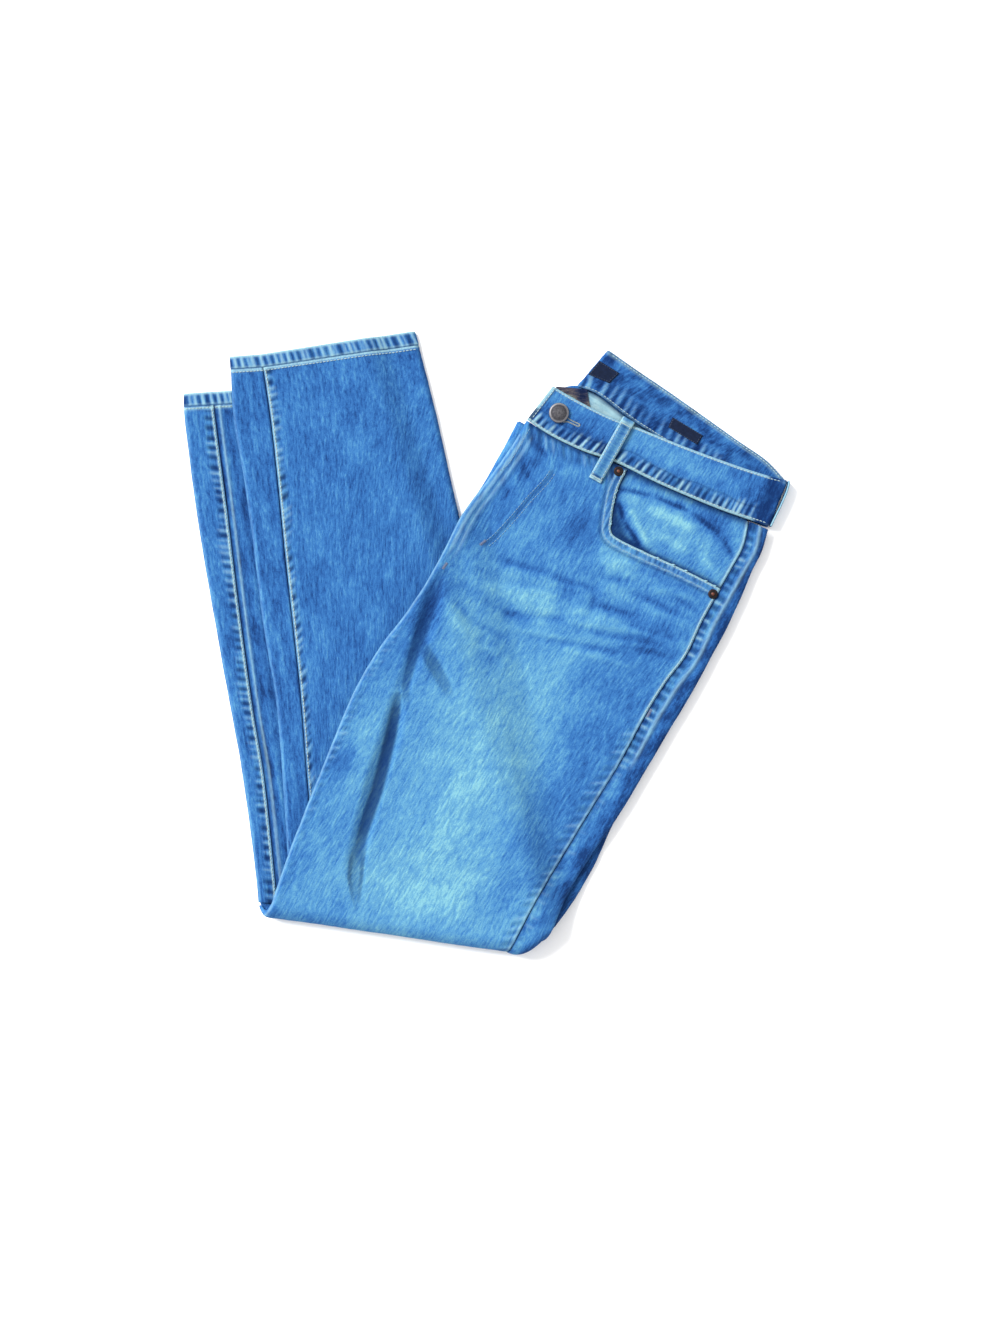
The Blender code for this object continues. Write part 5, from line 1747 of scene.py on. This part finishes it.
def share_row(rows, share, start, end):
    """A plan path along a band's layer, share 0 at its seam and 1 at its top."""
    row = between(values(rows), np.linspace(start, end, 120))
    return row[:, 2:4] * (1 - share) + row[:, 0:2] * share


def tack(name, middle, turn, long, wide, ground, look):
    """A bar tack: close zigzag stitches across a short bar."""
    run = np.array((math.cos(math.radians(turn)), math.sin(math.radians(turn))))
    side = np.array((-run[1], run[0])) * wide / 2
    rows = []
    for at in np.arange(-long / 2, long / 2, 0.42):
        lean = 0.2 if len(rows) % 2 else -0.2
        ends = (middle + run * (at - lean) - side, middle + run * (at + lean) + side)
        rows += ground.drop(ends, spacing=wide / 5)
    stitches(name, rows, look, pitch=wide, length=wide * 0.98, radius=0.24, sink=-0.1)


def make_label(name, corners, node):
    first, second, third, fourth = np.array(corners)
    along = np.linspace(0, 1, 24)[:, None, None]
    down = np.linspace(0, 1, 14)[:, None]
    upper = first * (1 - along) + second * along
    lower = fourth * (1 - along) + third * along
    plan = upper * (1 - down) + lower * down
    level = BAND_LEVELS[1] + BAND_WALL / 2 + SPACE + 0.3 + 0.15 * waves(plan, 7, 14.0)
    middle = lifted(plan, level)[:, ::-1]
    return slab(name, middle, LABEL_LOOK, {"fade": 0.5}, 0.5, node)


def around_label(corners, inset):
    corners = np.array(corners)
    middle = corners.mean(axis=0)
    away = corners - middle
    ring = middle + away * (1 - inset / np.linalg.norm(away, axis=1)[:, None])
    return np.concatenate((ring, ring[:1]))


front_left = make_front_left()
facing = make_pocket_facing()
back_left = make_back_left()
upper_shin_front = make_front_right_shin()
upper_shin_back = make_shin_left_part(RIGHT_LEG, SHIN_PARTS[0])
lower_shin_front = make_shin_left_part(LEFT_LEG, SHIN_PARTS[1])
lower_shin_back = make_back_left_shin()
hem_right = make_hem(RIGHT_LEG, "hem_right_band", "hem_right", 121)
hem_left = make_hem(LEFT_LEG, "hem_left_band", "hem_left", 122)
# the back edge's low fade is painted shadow, as it lies at the right in shade
thigh_side = make_right_thigh("right_back_thigh_edge", first=1.3, last=4.0, fade=0.12)
thigh_fly = make_right_thigh("right_front_thigh_edge", first=0.3, last=-2.2, fade=0.5)
waistband = make_waistband()
yoke = make_yoke_inside()
lining = make_fly_lining()
loop_front = make_front_loop()
loop_side = make_side_loop()

front_ground = Ground(front_left)
band_ground = Ground(waistband)
loop_ground = Ground(loop_front)


def hem_path(leg):
    places = leg.places(-0.5, 2.5, leg.hem_seam, 2.0, -1)
    return leg.surface(np.full(len(places), leg.hem_seam - 0.07), places, -1)[:, :2]


RIGHT_STITCHED = (13.8, RIGHT_LEG.hem_seam - 0.03)
LEFT_STITCHED = (13.1, LEFT_LEG.hem_seam - 0.03)
FLY_END_ROW = np.array(((59.9, 236.6), (38.2, 208.6))) + np.array((1.6, -1.0))
FRONT_BAND_ROWS = [share_row(FRONT_LEFT_BAND, share, 0.06, 6.9) for share in (0.05, 0.95)]
BACK_BAND_ROWS = [share_row(BACK_LEFT_BAND, share, 0.3, 5.9) for share in (0.05, 0.95)]
loop_run, loop_way = ways(LOOP_TOP, LOOP_END)
loop_ends = np.array((np.array(LOOP_TOP) + loop_run, np.array(LOOP_END) - loop_run))
LOOP_ROWS = [loop_ends + loop_way * shift for shift in (-4.6, 4.6)]
Seam = namedtuple("Seam", "name ground paths thick look low high", defaults=(THREAD_LOOK, -1.0, 60.0))
SEAMS = rows_of(
    Seam,
    ("outseam_stitches", front_ground, [beside_seam(LEFT_LEG, 0.3, TACK_ROW, 0.999, 1, -1.7)], THREAD),
    ("pocket_mouth_stitches", front_ground, [offset_path(MOUTH, -1.5)[2:-2]], 0.4),
    ("pocket_band_stitches", front_ground, [offset_path(MOUTH, -7.4)[2:-2]], 0.3, FLY_THREAD),
    ("fly_stitches", front_ground, [FLY, offset_path(FLY, FLY_GAP)], 0.32, FLY_THREAD),
    ("fly_edge_stitches", front_ground, [smooth_path(FLY_EDGE)], 0.3, FLY_THREAD),
    (
        "inseam_right_stitches",
        Ground(upper_shin_front),
        [beside_seam(RIGHT_LEG, *RIGHT_STITCHED, 1.001, -1, 1.7)],
        0.5,
    ),
    (
        "inseam_left_stitches",
        Ground(lower_shin_front),
        [beside_seam(LEFT_LEG, *LEFT_STITCHED, 0.999, -1, -1.7)],
        0.5,
    ),
    (
        "hem_right_stitches",
        Ground(upper_shin_front, upper_shin_back),
        [hem_path(RIGHT_LEG)],
        0.46,
        THREAD_LOOK,
        HEM_LOW,
    ),
    (
        "hem_left_stitches",
        Ground(lower_shin_front, lower_shin_back),
        [hem_path(LEFT_LEG)],
        0.46,
        THREAD_LOOK,
        HEM_LOW,
    ),
    (
        "waistband_front_stitches",
        band_ground,
        [*FRONT_BAND_ROWS, FLY_END_ROW],
        THREAD,
        THREAD_LOOK,
        11.0,
    ),
    ("waistband_inside_stitches", band_ground, BACK_BAND_ROWS, 0.36, THREAD_LOOK, 8.0, 11.0),
    ("belt_loop_stitches", loop_ground, LOOP_ROWS, 0.34),
)
for seam in SEAMS:
    rows = [row for path in seam.paths for row in seam.ground.drop(path, seam.low, seam.high)]
    stitches(seam.name, rows, seam.look, radius=seam.thick)

LOOP_TURN = math.degrees(math.atan2(loop_way[1], loop_way[0]))
LOWER_TACK_AT = np.array(LOOP_END) - loop_run * 2.4
UPPER_TACK_AT = np.array(LOOP_TOP) + loop_run * 1.2
Tack = namedtuple("Tack", "name at turn long wide ground look")
TACKS = rows_of(
    Tack,
    ("belt_loop_tack_lower", LOWER_TACK_AT, LOOP_TURN, 11.0, 1.8, loop_ground, THREAD_LOOK),
    ("belt_loop_tack_upper", UPPER_TACK_AT, LOOP_TURN, 11.0, 1.6, loop_ground, THREAD_LOOK),
    ("fly_tack_lower", (-40.5, 70.8), 55.0, 7.0, 3.0, front_ground, TACK_LOOK),
    ("fly_tack_upper", (-5.1, 92.8), 40.0, 7.0, 3.0, front_ground, TACK_LOOK),
    ("outseam_tack", (150.4, -66.6), 62.0, 8.0, 3.0, Ground(front_left, back_left), TACK_LOOK),
)
for row in TACKS:
    tack(*row)

# The buttonhole's stitches: side by side along both edges and round the end
slot_run, slot_side = ways((72.4, 208.1), (85.5, 202.0))
SLOT_START = np.array((69.5, 209.4))
SLOT_LONG = 16.5
hole_ends = []
for at in np.arange(0.0, SLOT_LONG, 0.5):
    reach = 1.0 + 1.9 * math.exp(-(((at - 1.5) / 3.0) ** 2))
    for way in (-slot_side, slot_side):
        place = SLOT_START + slot_run * at + way * reach
        hole_ends.append((place - way * 0.6, place + way))
tip = SLOT_START + slot_run * (SLOT_LONG - 0.3)
for turn in np.radians(np.arange(-80, 81, 20)):
    way = slot_run * math.cos(turn) + slot_side * math.sin(turn)
    hole_ends.append((tip + way * 0.3, tip + way * 1.9))
rows = [row for ends in hole_ends for row in band_ground.drop(ends, 11.0, spacing=0.3)]
stitches("buttonhole_stitches", rows, HOLE_LOOK, pitch=1.6, length=1.55, radius=0.27, sink=-0.08)

Turned = namedtuple("Turned", "radius height worn")
BUTTON = rows_of(
    Turned,
    (0.05, 3.75, 0.1),
    (2.0, 3.7, 0.16),
    (4.0, 3.6, 0.1),
    (5.8, 3.4, 0.05),
    (6.9, 3.1, 0.0),
    (7.6, 3.15, 0.25),
    (8.4, 3.0, 0.6),
    (9.0, 2.5, 0.75),
    (9.4, 1.7, 0.4),
    (9.1, 0.9, 0.1),
    (8.0, 0.5, 0.0),
    (4.0, 0.1, 0.0),
    (0.05, 0.05, 0.0),
)
RIVET = rows_of(
    Turned,
    (0.05, 1.7, 0.9),
    (0.9, 1.65, 0.9),
    (1.4, 1.4, 0.5),
    (1.8, 1.0, 0.0),
    (2.6, 1.0, 0.0),
    (3.6, 1.15, 0.05),
    (4.3, 0.85, 0.1),
    (4.6, 0.3, 0.0),
    (4.5, 0.05, 0.0),
    (0.05, 0.0, 0.0),
)
BAND_TOP = BAND_LEVELS[0] + BAND_WALL / 2 + SPACE
lathe("button_dome", BUTTON, BUTTON_AT, BAND_TOP, 48, BUTTON_LOOK, "button")
for rivet, at in (("rivet_upper", (121.7, 159.5)), ("rivet_lower", (209.9, 44.7))):
    base = float(thigh_bottom(np.array(at))) + 2 * TUBE + SPACE + 0.1
    lathe(rivet + "_cap", RIVET, at, base, 40, RIVET_LOOK, rivet)

WAIST_LABEL = ((103.9, 263.2), (122.6, 251.5), (113.3, 242.1), (93.4, 250.4))
SIZE_LABEL = ((172.6, 210.2), (200.9, 193.1), (195.4, 184.6), (168.2, 201.2))
label_waist = make_label("label_waist_ribbon", WAIST_LABEL, "label_waist")
label_size = make_label("label_size_ribbon", SIZE_LABEL, "label_size")
label_ground = Ground(label_waist, label_size)
rows = label_ground.drop(around_label(WAIST_LABEL, 1.6))
rows += label_ground.drop(around_label(SIZE_LABEL, 1.4))
stitches("label_stitches", rows, LABEL_THREAD, pitch=2.4, length=2.0, radius=0.2)
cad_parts["hidden_layers"].data.materials.clear()
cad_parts["hidden_layers"].data.materials.append(WHOLE_LOOK)

paper = Graph("pale_floor")
paper_tone = paper.noise((3.0, 3.0, 3.0), 2.0, coordinates="Object")
paper_stops = ((0.0, (0.9, 0.9, 0.9, 1)), (1.0, (0.92, 0.92, 0.92, 1)))
paper.link(paper.ramp(paper_tone, paper_stops), paper.shader.inputs["Base Color"])
paper.set("Roughness", 0.9)
FLOOR_HALF = 3000.0
floor_corners = [(x * FLOOR_HALF, y * FLOOR_HALF, 0) for x, y in ((-1, -1), (1, -1), (1, 1), (-1, 1))]
floor = mesh_object("floor", floor_corners, [[0, 1, 2, 3]], paper.material, lowest=0.0)

bpy.context.scene.view_settings.view_transform = "Standard"
world = bpy.data.worlds.new("studio")
bpy.context.scene.world = world
world.use_nodes = True
background = world.node_tree.nodes["Background"]
background.inputs["Color"].default_value = (1.0, 1.0, 1.0, 1)
background.inputs["Strength"].default_value = 1.1

KEY_AT = Vector((-1.9, 1.3, 1.9))
key = bpy.data.lights.new("key", "SUN")
key.angle = math.radians(26.0)
key.energy = 6.4
key.color = (1.0, 0.99, 0.98)
key_light = bpy.data.objects.new("key", key)
key_light.location = KEY_AT
key_light.rotation_euler = (-KEY_AT).to_track_quat("-Z", "Y").to_euler()
bpy.context.scene.collection.objects.link(key_light)

CAMERA_HEIGHT = 2.4
SEEN_TALL = 0.94 * 1.333
camera_data = bpy.data.cameras.new("camera")
camera_data.lens = 18.0 / (SEEN_TALL / 2 / CAMERA_HEIGHT)
camera = bpy.data.objects.new("camera", camera_data)
camera.location = (0.01232, -0.02271, CAMERA_HEIGHT)
bpy.context.scene.collection.objects.link(camera)
bpy.context.scene.camera = camera
